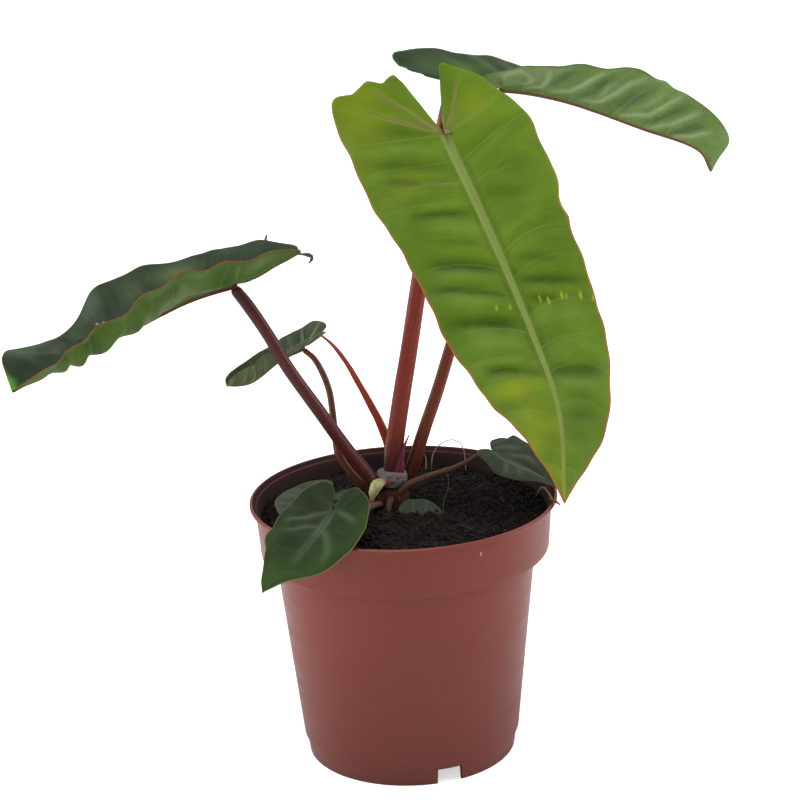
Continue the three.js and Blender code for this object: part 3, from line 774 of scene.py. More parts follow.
@dataclass(frozen=True)
class HalfShape:
    """One half of a blade.

    outline: its margin on the flat blade, (along the rib, out from it), from sinus to tip.
    fold: rise above the flat, degrees, at even steps from lobe to tip.
    curl: further turn from rib to margin, degrees.
    wave: the margin's ruffle, as height, length and phase.
    lean: how much nearer the base its veins meet the margin, at base and tip, in rib lengths.
    lobe_veins: how many basal veins fan into its lobe.
    belly: how far it sags below the smooth blade, at even steps from lobe to tip.
    fray: how far slow uneven waves move its margin.
    nicks: single bumps (+) and nicks (-) in it, (distance from the sinus, depth, half width).
    rim: how strongly the margin is coloured, at even steps from sinus to tip.
    """

    outline: tuple[Pair, ...]
    fold: Run
    curl: Run
    wave: tuple[float, float, float]
    lean: Pair = (0.06, 0.06)
    lobe_veins: int = 2
    belly: Run = (0.0, 0.0)
    fray: float = 0.25
    nicks: tuple[tuple[float, float, float], ...] = ()
    rim: Run = (1.0, 1.0)


@dataclass(frozen=True)
class Patch:
    """A patch of another colour on a blade, in the flat blade's millimetres."""

    half: Half
    ahead: float
    out: float
    half_length: float
    half_width: float
    tint: Tint = Tint.SCRATCH
    strength: float = 1.0

    def nearness(self, ahead: Array, out: Array) -> Array:
        """1 in the patch's middle, fading softly or at a plain edge."""
        gap = np.hypot((ahead - self.ahead) / self.half_length, (out - self.out) / self.half_width)
        if self.tint in SOFT_TINTS:
            return np.exp(-1.3 * gap ** 2)
        return step_up(0.0, 0.7, 1.25 - gap)


@dataclass(frozen=True)
class Stroke:
    """A soft line on a blade, along spots of the flat blade.

    width: its half width, in millimetres.
    depth: how far it is pressed in (+) or raised (-).
    shade: how dark (+, painted crease shade) or pale (-, painted ridge highlight or pale vein).
    tint: another colour that it takes, and strength says how strongly.
    """

    half: Half
    path: tuple[Pair, ...]
    width: float
    depth: float = 0.0
    shade: float = 0.0
    tint: Tint | None = None
    strength: float = 0.0

    def nearness(self, ahead: Array, out: Array) -> Array:
        """1 on the line, and less and less beside it and towards its ends."""
        best, place = np.full_like(ahead, np.inf), np.zeros_like(ahead)
        for i, (first, last) in enumerate(zip(self.path, self.path[1:])):
            way = np.subtract(last, first)
            along = (ahead - first[0]) * way[0] + (out - first[1]) * way[1]
            share = np.clip(along / (way @ way), 0, 1)
            gap = np.hypot(ahead - first[0] - way[0] * share, out - first[1] - way[1] * share)
            place = np.where(gap < best, (i + share) / (len(self.path) - 1), place)
            best = np.minimum(best, gap)
        return np.exp(-(best / self.width) ** 2) * (1 - 0.5 * np.abs(2 * place - 1) ** 3)


@dataclass(frozen=True)
class BladeShape:
    """A whole blade: its midrib's line, the way its upper side faces, and its two halves."""

    name: str
    finish: LeafFinish
    slot: str
    rib: tuple[Point, ...]
    up: tuple[Point, Point]
    left: HalfShape
    right: HalfShape
    ridge: Pair
    rib_width: Pair = (3.6, 0.9)
    veins: int = 8
    quilt: float = 0.35
    crease: float = 0.5
    crease_width: float = 2.6
    # crease_shade_tone: how strongly the generic creases are painted with shade
    crease_shade_tone: float = 1.0
    vein_strength: float = 1.0
    seed: float = 0.0
    rows: int = 60
    lobe_rows: int = 18
    columns: int = 18
    thickness: float = 0.5
    patches: tuple[Patch, ...] = ()
    strokes: tuple[Stroke, ...] = ()

    def side(self, half: Half) -> HalfShape:
        """The shape of one half."""
        return self.left if half is Half.LEFT else self.right


class LeafSheet:
    """Bends a blade's flat outline into its place and gives it thickness, veins and marks."""

    def __init__(self, shape: BladeShape) -> None:
        """Measures the blade.

        Args:
            shape: the blade's sizes.
        """
        self.shape = shape
        self.line = SmoothLine(shape.rib)
        self.sinus_at = self.line.length_at(1)
        self.rib_length = self.line.length - self.sinus_at
        flat = np.array(shape.left.outline + shape.right.outline)
        self.half_width = float(flat[:, 1].max())
        self.lobe_length = float(-flat[:, 0].min())

    def frame(self, ahead: Array) -> tuple[Array, Array, Array, Array]:
        """The rib's points, sideways directions, normals and shares at distances from the sinus."""
        place = self.sinus_at + ahead
        tangent = unit(self.line.at(place + 1.5) - self.line.at(place - 1.5))
        share = np.clip((ahead + self.lobe_length) / (self.rib_length + self.lobe_length), 0, 1)
        low, high = (np.array(v, float) for v in self.shape.up)
        across = unit(np.cross(tangent, low + (high - low) * share[..., None]))
        return self.line.at(place), across, np.cross(across, tangent), share

    def bent(self, flat: Array, half: Half, lift: Array) -> Array:
        """Places flat points in space.

        Args:
            flat: points as (ahead, out), in millimetres.
            half: the half they lie on.
            lift: their height above the smooth blade.

        Returns:
            Their points in space.
        """
        ahead, out = flat[..., 0], flat[..., 1]
        side = self.shape.side(half)
        point, across, normal, share = self.frame(ahead)
        start = np.radians(eased(side.fold, share))
        turn = (np.radians(eased(side.curl, share)) + 1e-6) / self.half_width
        end = start + turn * out
        height, length, phase = side.wave
        ruffle = height * (out / self.half_width) ** 2 * np.sin(
            2 * np.pi * ahead / length + math.radians(phase)) + lift
        sideways = (np.sin(end) - np.sin(start)) / turn - np.sin(end) * ruffle
        rise = (np.cos(start) - np.cos(end)) / turn + np.cos(end) * ruffle
        return point + across * (half.value * sideways)[..., None] + normal * rise[..., None]

    def _fan_end(self, outline: SmoothLine) -> float:
        """Length along the outline where the rows stop fanning from the sinus."""
        steps = outline.samples[:, 0]
        lowest = int(steps.argmin())
        past = np.nonzero((np.arange(len(steps)) > lowest) & (steps > FAN_END * steps[lowest]))[0]
        return float(past[0]) / LINE_STEPS * outline.length

    def _flat_rows(self, half: Half) -> tuple[Array, Array, Array]:
        """Rows from rib to margin on the flat blade.

        Args:
            half: the half to lay out.

        Returns:
            The points (row, column, 2), each row's place (below 0 in the lobe) and the
            columns' shares.
        """
        shape, side = self.shape, self.shape.side(half)
        outline = SmoothLine([(0, 0), *side.outline, (self.rib_length, 0)])
        fan = self._fan_end(outline)
        turn = np.linspace(0, 1, shape.lobe_rows)
        step = np.arange(1, shape.rows) / shape.rows
        walk = np.concatenate([fan * (FAN_START + (1 - FAN_START) * turn),
                               fan + (outline.length - fan) * step])
        ahead = unit(outline.at(walk + 0.5) - outline.at(walk - 0.5))
        taper = np.clip(np.minimum(walk, outline.length - walk) / 12, 0, 1)
        shift = side.fray * taper * (np.sin(walk * 0.21 + shape.seed) + 0.6 * np.sin(
            walk * 0.47 + 2 * shape.seed))
        for place, depth, reach in side.nicks:
            shift = shift + depth * np.exp(-((walk - place) / reach) ** 2)
        margins = outline.at(walk) + np.stack([-ahead[:, 1], ahead[:, 0]], axis=1) * shift[:, None]
        margins[:, 1] = np.maximum(margins[:, 1], 0.05)
        feet = np.zeros_like(margins)
        feet[shape.lobe_rows:, 0] = self.rib_length * step
        shares = np.linspace(0, 1, shape.columns + 1) ** COLUMN_CROWDING
        flat = feet[:, None] + (margins - feet)[:, None] * shares[None, :, None]
        return flat, np.concatenate([turn - 1, step]), shares

    def _marks(self, flat: Array, rows: Array, shares: Array,
               half: Half) -> dict[str, Array]:
        """What the shader reads at each point of one half.

        Args:
            flat: the half's flat points.
            rows: each row's place.
            shares: each column's share from rib to margin.
            half: the half.

        Returns:
            The marks by name, and the lift of each point above the smooth blade.
        """
        shape, side = self.shape, self.shape.side(half)
        row, col = rows[:, None], shares[None, :]
        inside = step_up(0.0, 0.22, row)
        low, high = side.lean
        lean = (low + (high - low) * np.clip(row, 0, 1)) * col + VEIN_BOW * col * (1 - col)
        phase = np.where(row >= 0, shape.veins * row, side.lobe_veins * row)
        phase = phase + inside * (shape.veins * lean + (0.5 if half is Half.RIGHT else 0.0))
        phase = phase + VEIN_SWAY * inside * np.sin(1.9 * phase + 2.3 * half.value + shape.seed)
        pitch = self._pitch(flat, phase)
        ahead, out = flat[..., 0], flat[..., 1]
        width = np.interp(np.clip(ahead, 0, None) / self.rib_length, (0, 0.5, 1),
                          (shape.rib_width[0], sum(shape.rib_width) * 0.45, shape.rib_width[1]))
        near = np.hypot(np.minimum(ahead, 0) * 0.8, out) / (width / 2)
        spread = np.linalg.norm(flat[:, -1:] - flat[:, :1], axis=2)
        number = np.round(phase)
        away = (phase - number) * pitch
        luck = (0.5 + 0.5 * np.sin(2.4 * number + 1.7 * half.value + shape.seed)) ** 1.5
        reach = step_up(0.02, 0.2, col) * (1 - step_up(0.45 + 0.3 * luck, 0.75 + 0.3 * luck, col))
        # the crease mask presses the blade in, and through the crease mark it is also painted as
        # shade
        crease = np.exp(-((away + 0.8) / shape.crease_width) ** 2) * (0.15 + 0.85 * luck) * reach
        crest = np.abs(np.cos(np.pi * (phase - number))) ** 2
        fade = step_up(0.03, 0.3, col) * (1 - 0.5 * col ** 3)
        sag = eased(side.belly, (ahead + self.lobe_length) / (self.rib_length + self.lobe_length))
        swell = 0.5 + 0.5 * np.sin(np.pi * phase) ** 2
        belly = sag * np.sin(np.pi * np.clip(col / 0.75, 0, 1)) * swell
        basal = 1 - step_up(-0.12, 0.04, row)
        found = {"phase": phase, "pitch": pitch, "rib": near, "edge": (1 - col) * spread,
                 "rim": eased(side.rim, (row + 1) / 2) + 0 * col,
                 "crease": crease * shape.crease_shade_tone, "crest": np.zeros_like(ahead),
                 "vein": shape.vein_strength * (0.45 + 0.3 * luck + basal) * (1 - 0.65 * col ** 2),
                 "lift": shape.quilt * (0.5 - crest) * fade - shape.crease * crease - belly}
        found |= {tint.value: np.zeros_like(ahead) for tint in Tint}

        def lay(key: str, strength: Array) -> None:
            """Lays something on a mark, which keeps the stronger of the two."""
            found[key] = np.maximum(found[key], strength)

        for patch in shape.patches:
            if patch.half is half:
                lay(patch.tint.value, patch.strength * patch.nearness(ahead, out))
        for stroke in shape.strokes:
            if stroke.half is half:
                near = stroke.nearness(ahead, out)
                # dark strokes add painted shade in creases; pale strokes add painted ridge
                # highlights and pale veins
                lay("crease" if stroke.shade > 0 else "crest", abs(stroke.shade) * near)
                found["lift"] = found["lift"] - stroke.depth * near * fade
                if stroke.tint is not None:
                    lay(stroke.tint.value, stroke.strength * near)
        return found

    @staticmethod
    def _pitch(flat: Array, phase: Array) -> Array:
        """Millimetres between neighbouring veins at each point."""
        along_row, along_col = np.gradient(flat, axis=0), np.gradient(flat, axis=1)
        steps_row, steps_col = np.gradient(phase, axis=0), np.gradient(phase, axis=1)
        area = along_row[..., 0] * along_col[..., 1] - along_row[..., 1] * along_col[..., 0]
        area = np.where(np.abs(area) < 1e-6, 1e-6, area)
        slope_ahead = (steps_row * along_col[..., 1] - steps_col * along_row[..., 1]) / area
        slope_out = (steps_col * along_row[..., 0] - steps_row * along_col[..., 0]) / area
        return 1 / np.maximum(np.hypot(slope_ahead, slope_out), 0.02)

    def mesh(self) -> Mesh:
        """Builds the closed leaf: two sheets, a wall round them and the midrib's ridge below."""
        shape = self.shape
        rib_flat = np.stack([self.rib_length * np.arange(shape.rows + 1) / shape.rows,
                             np.zeros(shape.rows + 1)], axis=1)
        points = [self.bent(rib_flat, Half.LEFT, np.zeros(shape.rows + 1))]
        faces: Faces = []
        names = ("phase", "pitch", "rib", "edge", "rim", "crease", "crest", "vein",
                 *(tint.value for tint in Tint))
        blank = np.zeros(shape.rows + 1)
        marks = {key: [blank + (30.0 if key in ("edge", "pitch") else 0.0)] for key in names}
        marks["phase"] = [blank + 0.5]
        flats = [rib_flat]
        count = shape.rows + 1
        for half in Half:
            flat, rows, shares = self._flat_rows(half)
            found = self._marks(flat, rows, shares, half)
            place = self.bent(flat, half, found["lift"])
            index = count + np.arange(flat.shape[0] * shape.columns).reshape(flat.shape[0], -1)
            feet = np.concatenate([np.zeros(shape.lobe_rows, int), np.arange(1, shape.rows)])
            index = np.hstack([feet[:, None], index])
            points.append(place[:, 1:].reshape(-1, 3))
            flats.append(flat[:, 1:].reshape(-1, 2))
            for key in names:
                marks[key].append(found[key][:, 1:].reshape(-1))
            count += flat.shape[0] * shape.columns
            faces += self._faces(index, shape.rows, half)
        middle = np.vstack(points)
        joined = {key: np.concatenate(parts) for key, parts in marks.items()}
        return self._thick(middle, np.vstack(flats), faces, joined)

    @staticmethod
    def _faces(index: Array, tip: int, half: Half) -> Faces:
        """Faces of one half, all seen from above, closing on the tip."""
        faces: Faces = []
        for low, high in zip(index[:-1], index[1:]):
            for j in range(len(low) - 1):
                face = [low[j], low[j + 1], high[j + 1], high[j]]
                faces.append(tuple(int(i) for i in dict.fromkeys(face)))
        last = index[-1]
        faces += [(int(last[j]), int(last[j + 1]), tip) for j in range(len(last) - 1)]
        return faces if half is Half.RIGHT else [tuple(reversed(f)) for f in faces]

    def _thick(self, middle: Array, flat: Array, faces: Faces,
               marks: dict[str, Array]) -> Mesh:
        """Gives the middle sheet its thickness.

        Args:
            middle: the sheet's points.
            flat: the same points on the flat blade.
            faces: its faces, seen from above.
            marks: its marks.

        Returns:
            The closed mesh.
        """
        shape = self.shape
        normals = np.zeros_like(middle)
        for face in faces:
            a, b, c = (middle[i] for i in face[:3])
            normal = np.cross(b - a, c - a)
            if len(face) == 4:
                normal = normal + np.cross(c - a, middle[face[3]] - a)
            for i in face:
                normals[i] += normal
        normals = unit(normals)
        low, high = shape.ridge
        depth = np.interp(flat[:, 0] / self.rib_length, (-0.1, 0.0, 0.9, 1.0), (0, low, high, 0.1))
        away = np.hypot(np.minimum(flat[:, 0], 0), flat[:, 1]) / np.maximum(depth * 1.1, 0.05)
        ridge = 1.5 * depth * np.clip(1 - away ** 2, 0, 1) ** 0.6
        groove = 0.22 * depth * np.exp(-(away / 0.8) ** 2)
        top = middle + normals * (shape.thickness / 2 - groove)[:, None]
        bottom = middle - normals * (shape.thickness / 2 + ridge)[:, None]
        count = len(middle)
        sides = {(f[i], f[(i + 1) % len(f)]) for f in faces for i in range(len(f))}
        wall = [(b, a, a + count, b + count) for a, b in sides if (b, a) not in sides]
        every = faces + [tuple(i + count for i in reversed(f)) for f in faces] + sorted(wall)
        doubled = {key: np.concatenate([v, v]) for key, v in marks.items()}
        doubled["upper"] = np.concatenate([np.ones(count), np.zeros(count)])
        return mesh_from(shape.name, np.vstack([top, bottom]), every, doubled)


def patches(half: Half, tint: Tint, *spots: Sequence[float]) -> tuple[Patch, ...]:
    """Patches of one tint on one half, each (ahead, out, half length, half width, strength)."""
    return tuple(Patch(half, *spot[:4], tint, *spot[4:]) for spot in spots)


def strokes(half: Half, *lines: Sequence) -> tuple[Stroke, ...]:
    """Strokes on one half, each written as the rest of a Stroke's fields."""
    return tuple(Stroke(half, *line) for line in lines)


TALL_PATCHES = (
    *patches(Half.RIGHT, Tint.SCRATCH, (68.1, 9.1, 1.1, 0.4), (69.3, 4.5, 1.1, 0.4)),
    *patches(
        Half.LEFT, Tint.SCRATCH, (70, 7.3, 1.3, 0.4), (71.8, 10.1, 1.3, 0.4),
        (71.6, 15.5, 1.3, 0.4), (72.5, 17.5, 1.3, 0.4), (74, 22.3, 1.3, 0.4), (76, 26.2, 1.3, 0.4)),
    *patches(Half.LEFT, Tint.DRY, (74.5, 23.8, 1.5, 0.7, 0.7)),
    *patches(
        Half.RIGHT, Tint.WARM, (101, 13, 5, 8), (99.5, 5, 3, 6, 0.35), (118, 9, 17, 9, 0.5),
        (144, 3, 14, 7, 0.5), (-17, 27, 14, 12, 0.55), (-2, 30, 7, 8, 0.25), (12, 20, 5, 10, 0.25)),
    *patches(Half.LEFT, Tint.WARM, (150, 2, 9, 6, 0.5), (-6.6, 14.5, 7, 6, 0.6)),
    *patches(
        Half.LEFT, Tint.DEEP, (120, 8, 28, 11, 0.42), (70, 25, 30, 8, 0.2), (22, 21, 8, 8, 0.35),
        (32, 10, 9, 7, 0.3), (86, 8, 12, 7, 0.2), (-18, 6, 10, 4, 0.3), (130, 9, 8, 5, 0.45)),
    *patches(
        Half.RIGHT, Tint.DEEP, (64, 29, 34, 8, 0.4), (34, 26, 14, 9, 0.3), (60, 8, 26, 7, 0.18),
        (-23, 12, 8, 5, 0.25), (126, 5, 7, 5, 0.4)),
)
# dark strokes paint shade in the folds and pale ones paint highlights between them; tinted ones are
# veins and dry marks
TALL_STROKES = (
    *strokes(
        Half.RIGHT, (((-10, 22), (-4, 11), (-1, 4)), 3.4, 0.4, 0.45),
        (((-3, 24), (3, 9)), 1.4, -0.3, -0.3), (((-1, 33), (5, 20), (12, 5)), 2.4, 0.4, 0.5),
        (((8, 27.5), (13, 16.5)), 1.5, 0.4, 0.6, Tint.DRY, 0.25),
        (((13, 16.5), (20, 2.4)), 0.6, -0.2, -0.3, Tint.TAN, 0.5),
        (((24, 24), (27, 14), (31, 5)), 1.9, 0.7, 0.75),
        (((36, 22), (40, 12), (43, 5)), 2, 0.3, 0.35), (((30, 22), (34, 12)), 1.6, -0.3, -0.2),
        (((34, 14), (38.5, 3)), 2.4, -0.4, -0.35), (((44, 25), (48, 15), (54, 3)), 2.6, 0.9, 0.85),
        (((52.5, 29), (57, 18), (64, 5)), 1.7, 0.6, 0.75, Tint.DRY, 0.12),
        (((49, 24), (52, 16), (57, 6)), 1.8, -0.3, -0.25), (((58, 27), (66, 10)), 2.2, -0.4, -0.35),
        (((67.5, 27), (71, 17), (77, 3)), 2.8, 1, 0.85), (((80, 20), (84, 6)), 2.8, -0.4, -0.25),
        (((90.5, 21), (92, 15), (97, 3)), 2.2, 0.7, 0.75), (((87, 19), (90, 6)), 2, -0.2, -0.2),
        (((92.5, 23), (91.5, 18)), 1.1, 0.2, 0.4, Tint.DRY, 0.3),
        (((6, 2.9), (100, 2.3)), 1.1, 0, 0.35),
        (((-0.5, 0.8), (-11.8, 9.5)), 1.1, -0.3, 0, Tint.TAN, 0.9),
        (((-11.8, 9.5), (-23.1, 18.7)), 0.8, -0.2, 0, Tint.TAN, 0.75),
        (((-3.5, 4.5), (-14.2, 18.7)), 0.8, 0, 0, Tint.TAN, 0.8),
        (((-14.2, 18.7), (-18.5, 27.3)), 0.6, 0, 0, Tint.TAN, 0.6)),
    *strokes(
        Half.LEFT, (((6, 2.9), (100, 2.3)), 1.2, 0, 0.4),
        (((27, 4), (28.4, 10.2), (31, 17)), 3, 0.4, 0.45),
        (((36, 3), (34, 14), (36, 24)), 2.4, -0.3, -0.2),
        (((52, 2), (54, 10), (58, 18)), 2, 0.4, 0.45),
        (((61, 3), (63, 8), (66.5, 18), (69, 24)), 2, 0.6, 0.8),
        (((68, 3), (70.8, 9.4), (73, 14)), 2, 0.5, 0.7), (((78, 4), (82, 20)), 2.6, -0.4, -0.2),
        (((97, 1.5), (100, 9), (102.5, 19)), 2.7, 0.9, 0.85),
        (((104, 3), (107, 15)), 2.2, -0.4, -0.3), (((115, 2), (117, 14)), 2.6, 0.3, 0.35),
        (((43.6, 3.5), (40.6, 14.3), (40, 18)), 0.7, -0.2, -0.35),
        (((21, 2.5), (19.3, 10.2)), 0.55, 0, 0, Tint.TAN, 0.55),
        (((19.3, 10.2), (18.9, 16.6)), 0.55, 0.2, 0.2, Tint.DRY, 0.35),
        (((-0.6, 1.1), (-6.6, 6.1)), 1, -0.3, 0, Tint.TAN, 0.85),
        (((-6.6, 6.1), (-19.3, 12.1)), 0.8, -0.2, 0, Tint.TAN, 0.7),
        (((-0.4, 3), (-2.7, 14.9)), 0.8, -0.2, -0.4, Tint.TAN, 0.35),
        (((-2.7, 14.9), (-6.4, 23.3)), 0.9, -0.1, -0.5)),
)
LEFT_PATCHES = (
    *patches(
        Half.RIGHT, Tint.SCRATCH, (48, 17.2, 0.35, 0.35), (53.3, 9.6, 0.35, 0.35),
        (51, 8, 0.35, 0.35)),
    *patches(Half.RIGHT, Tint.WARM, (94, 6, 2.6, 12, 1.5), (81, 22, 8, 4.5, 0.18)),
    *patches(Half.LEFT, Tint.DRY, (14, 5, 0.9, 0.9), (-27, 11, 2, 2, 0.8)),
    *patches(Half.RIGHT, Tint.DRY, (50, 6, 3, 2, 0.3)),
    *patches(Half.RIGHT, Tint.DEEP, (80, 7, 9, 8, 0.7), (47, 11, 9, 6, 0.5)),
    # painted sheen: pale patches on the far half's upper side
    *patches(Half.RIGHT, Tint.PALE, (18, 17, 10, 5, 0.26), (35, 15, 7, 9, 0.14)),
    *patches(
        Half.LEFT, Tint.PALE, (24, 9, 11, 8, 0.4), (38, 3, 8, 3, 0.9), (13, 4, 6, 3, 0.5),
        (84, 8, 8, 8, 0.35), (-12, 14, 13, 5, 0.45)),
)
LEFT_STROKES = (
    *strokes(
        Half.LEFT, (((2, 4), (12, 5)), 4, 1.3), (((27, 3.5), (33, 4)), 3, 1),
        (((37, 3.5), (43, 4)), 3, 1), (((18, 3), (21, 20)), 1.6, -0.5, -0.3),
        (((33, 5), (36, 20)), 1.8, 0.6, 0.5), (((0, 4), (-2, 17)), 0.8, -0.3, -0.6)),
    *strokes(
        Half.RIGHT, (((12, 6), (20, 20)), 3, -0.5, -0.25), (((60, 4), (66, 16)), 2.2, 0.8, 0.5),
        (((72, 5), (78, 14)), 1.8, -0.5, -0.25), (((28, 6), (35, 18)), 2.5, 0.6, 0.4)),
)
# pale strokes paint highlights on the pleats' ridges, dark ones paint shade in their valleys
RIGHT_STROKES = (
    *strokes(
        Half.RIGHT,
        (((-3, 9), (-3.8, 15), (0.4, 16.6), (5.4, 13), (8, 7.7), (3.5, 5.6)), 1.1, -0.16, -0.44),
        (((0, 11), (3, 10)), 2.31, 0.28, 0.36),
        (((9.6, 2.8), (14, 5.3), (13, 12.7), (10.6, 18.3)), 1.02, -0.32, -0.6),
        (((19.8, 3), (25.9, 6.6), (27.9, 13.6), (29.9, 23.9)), 1.27, -0.4, -0.6),
        (((34, 3.4), (40.3, 6.6), (42.7, 13.8), (43.7, 21), (46.5, 28)), 1.44, -0.4, -0.6),
        (((51.2, 2.7), (60.9, 7), (65.8, 15.5), (69, 19)), 1.27, -0.4, -0.6),
        (((64.4, 0.8), (72, 5.7), (77, 12.1), (79, 15)), 1.19, -0.36, -0.56),
        (((75.1, 0.5), (82.1, 4), (86, 9.5)), 1.1, -0.24, -0.52),
        (((37.5, 8), (36.8, 19)), 1.27, -0.12, -0.2), (((57, 10), (61, 19)), 1.19, -0.12, -0.2),
        (((16.6, 7), (17.5, 13), (19.7, 21)), 3.57, 0.7, 0.68),
        (((29.5, 3.5), (33.4, 10), (34.2, 18), (35.5, 24)), 2.73, 0.7, 0.72),
        (((46, 5.5), (50, 14), (52.5, 23)), 3.99, 0.77, 0.85),
        (((62, 3.5), (66.6, 7.8), (70.4, 12.5), (74, 16)), 2.1, 0.63, 0.77),
        (((73.6, 1.5), (78.4, 5.4), (82, 10.5)), 1.99, 0.56, 0.72)),
)
RIGHT_PATCHES = (
    *patches(Half.LEFT, Tint.WARM, (-12, 14.5, 15, 5, 0.6)),
    *patches(Half.LEFT, Tint.PALE, (-22, 20, 9, 5, 0.12)),
    *patches(Half.RIGHT, Tint.PALE, (2, 13, 9, 8, 0.4)),
    *patches(Half.LEFT, Tint.DEEP, (-34, 20, 5, 6, 0.5)),
)
FRONT_STROKES = (
    *strokes(
        Half.RIGHT, (((-1, 0), (11, 0.2), (18, 0.4)), 1.5, -0.2, -0.55),
        (((16, 0.4), (25, 0.8), (34, 0.4)), 1.3, -0.1, -0.28),
        (((-0.4, 0.8), (3.7, 5.6), (6.9, 10.1), (8.1, 15)), 1.5, -0.2, -0.42),
        (((10.7, 0.5), (13, 7), (16, 12)), 1.4, -0.2, -0.35),
        (((-3, 1.5), (-6, 6), (-9, 9)), 1.6, 0, -0.2), (((20, 5), (28, 9)), 3.5, 0.4, 0.5),
        (((1, 8), (3, 14)), 3, 0.3, 0.5), (((5, 3), (9, 6)), 1.8, 0.3, 0.4)),
    *strokes(
        Half.LEFT, (((-1, 0), (11, 0.2), (18, 0.4)), 1.5, -0.2, -0.55),
        (((16, 0.4), (25, 0.4), (34, 0.4)), 1.3, -0.1, -0.28),
        (((12, 1), (17.9, 5.2), (24.5, 9), (30, 10)), 1.4, -0.3, -0.4),
        (((-1, 2), (0.5, 4.5), (3, 8), (5.2, 11)), 1.4, -0.2, -0.42),
        (((7, 4), (12, 9)), 3, 0.4, 0.6)),
)
FRONT_PATCHES = (
    *patches(Half.LEFT, Tint.WARM, (4, 14.5, 14, 4, 0.5), (32, 9, 16, 6, 0.5), (42, 2, 12, 7, 0.6)),
    *patches(Half.RIGHT, Tint.WARM, (44, 2, 12, 7, 0.8), (26, 15, 16, 5, 0.35)),
    *patches(Half.RIGHT, Tint.DEEP, (-5, 8, 9, 7, 0.7)),
    *patches(Half.LEFT, Tint.DEEP, (-6, 7, 7, 6, 0.5)),
)
SIDE_STROKES = (
    *strokes(
        Half.LEFT, (((0, 1), (3, 3.4), (7.6, 7.7)), 1.2, -0.1, -0.45),
        (((5, 0.5), (9, 2.5), (13.5, 4.7), (17.7, 3.4)), 1.2, -0.1, -0.4),
        (((10, 6), (14, 9)), 2.4, 0.2, 0.4)),
    *strokes(
        Half.RIGHT, (((1.4, 2), (7.9, 3.7), (12.9, 2.6), (18.3, 1.3), (24, 0.5)), 1, -0.1, -0.5),
        (((7.9, 3.7), (10, 6.5), (11.3, 9.6)), 1, -0.1, -0.4),
        (((13, 2.6), (17.1, 6.9)), 0.9, -0.1, -0.3), (((3, 5), (5, 8)), 1.6, 0.2, 0.4)),
)

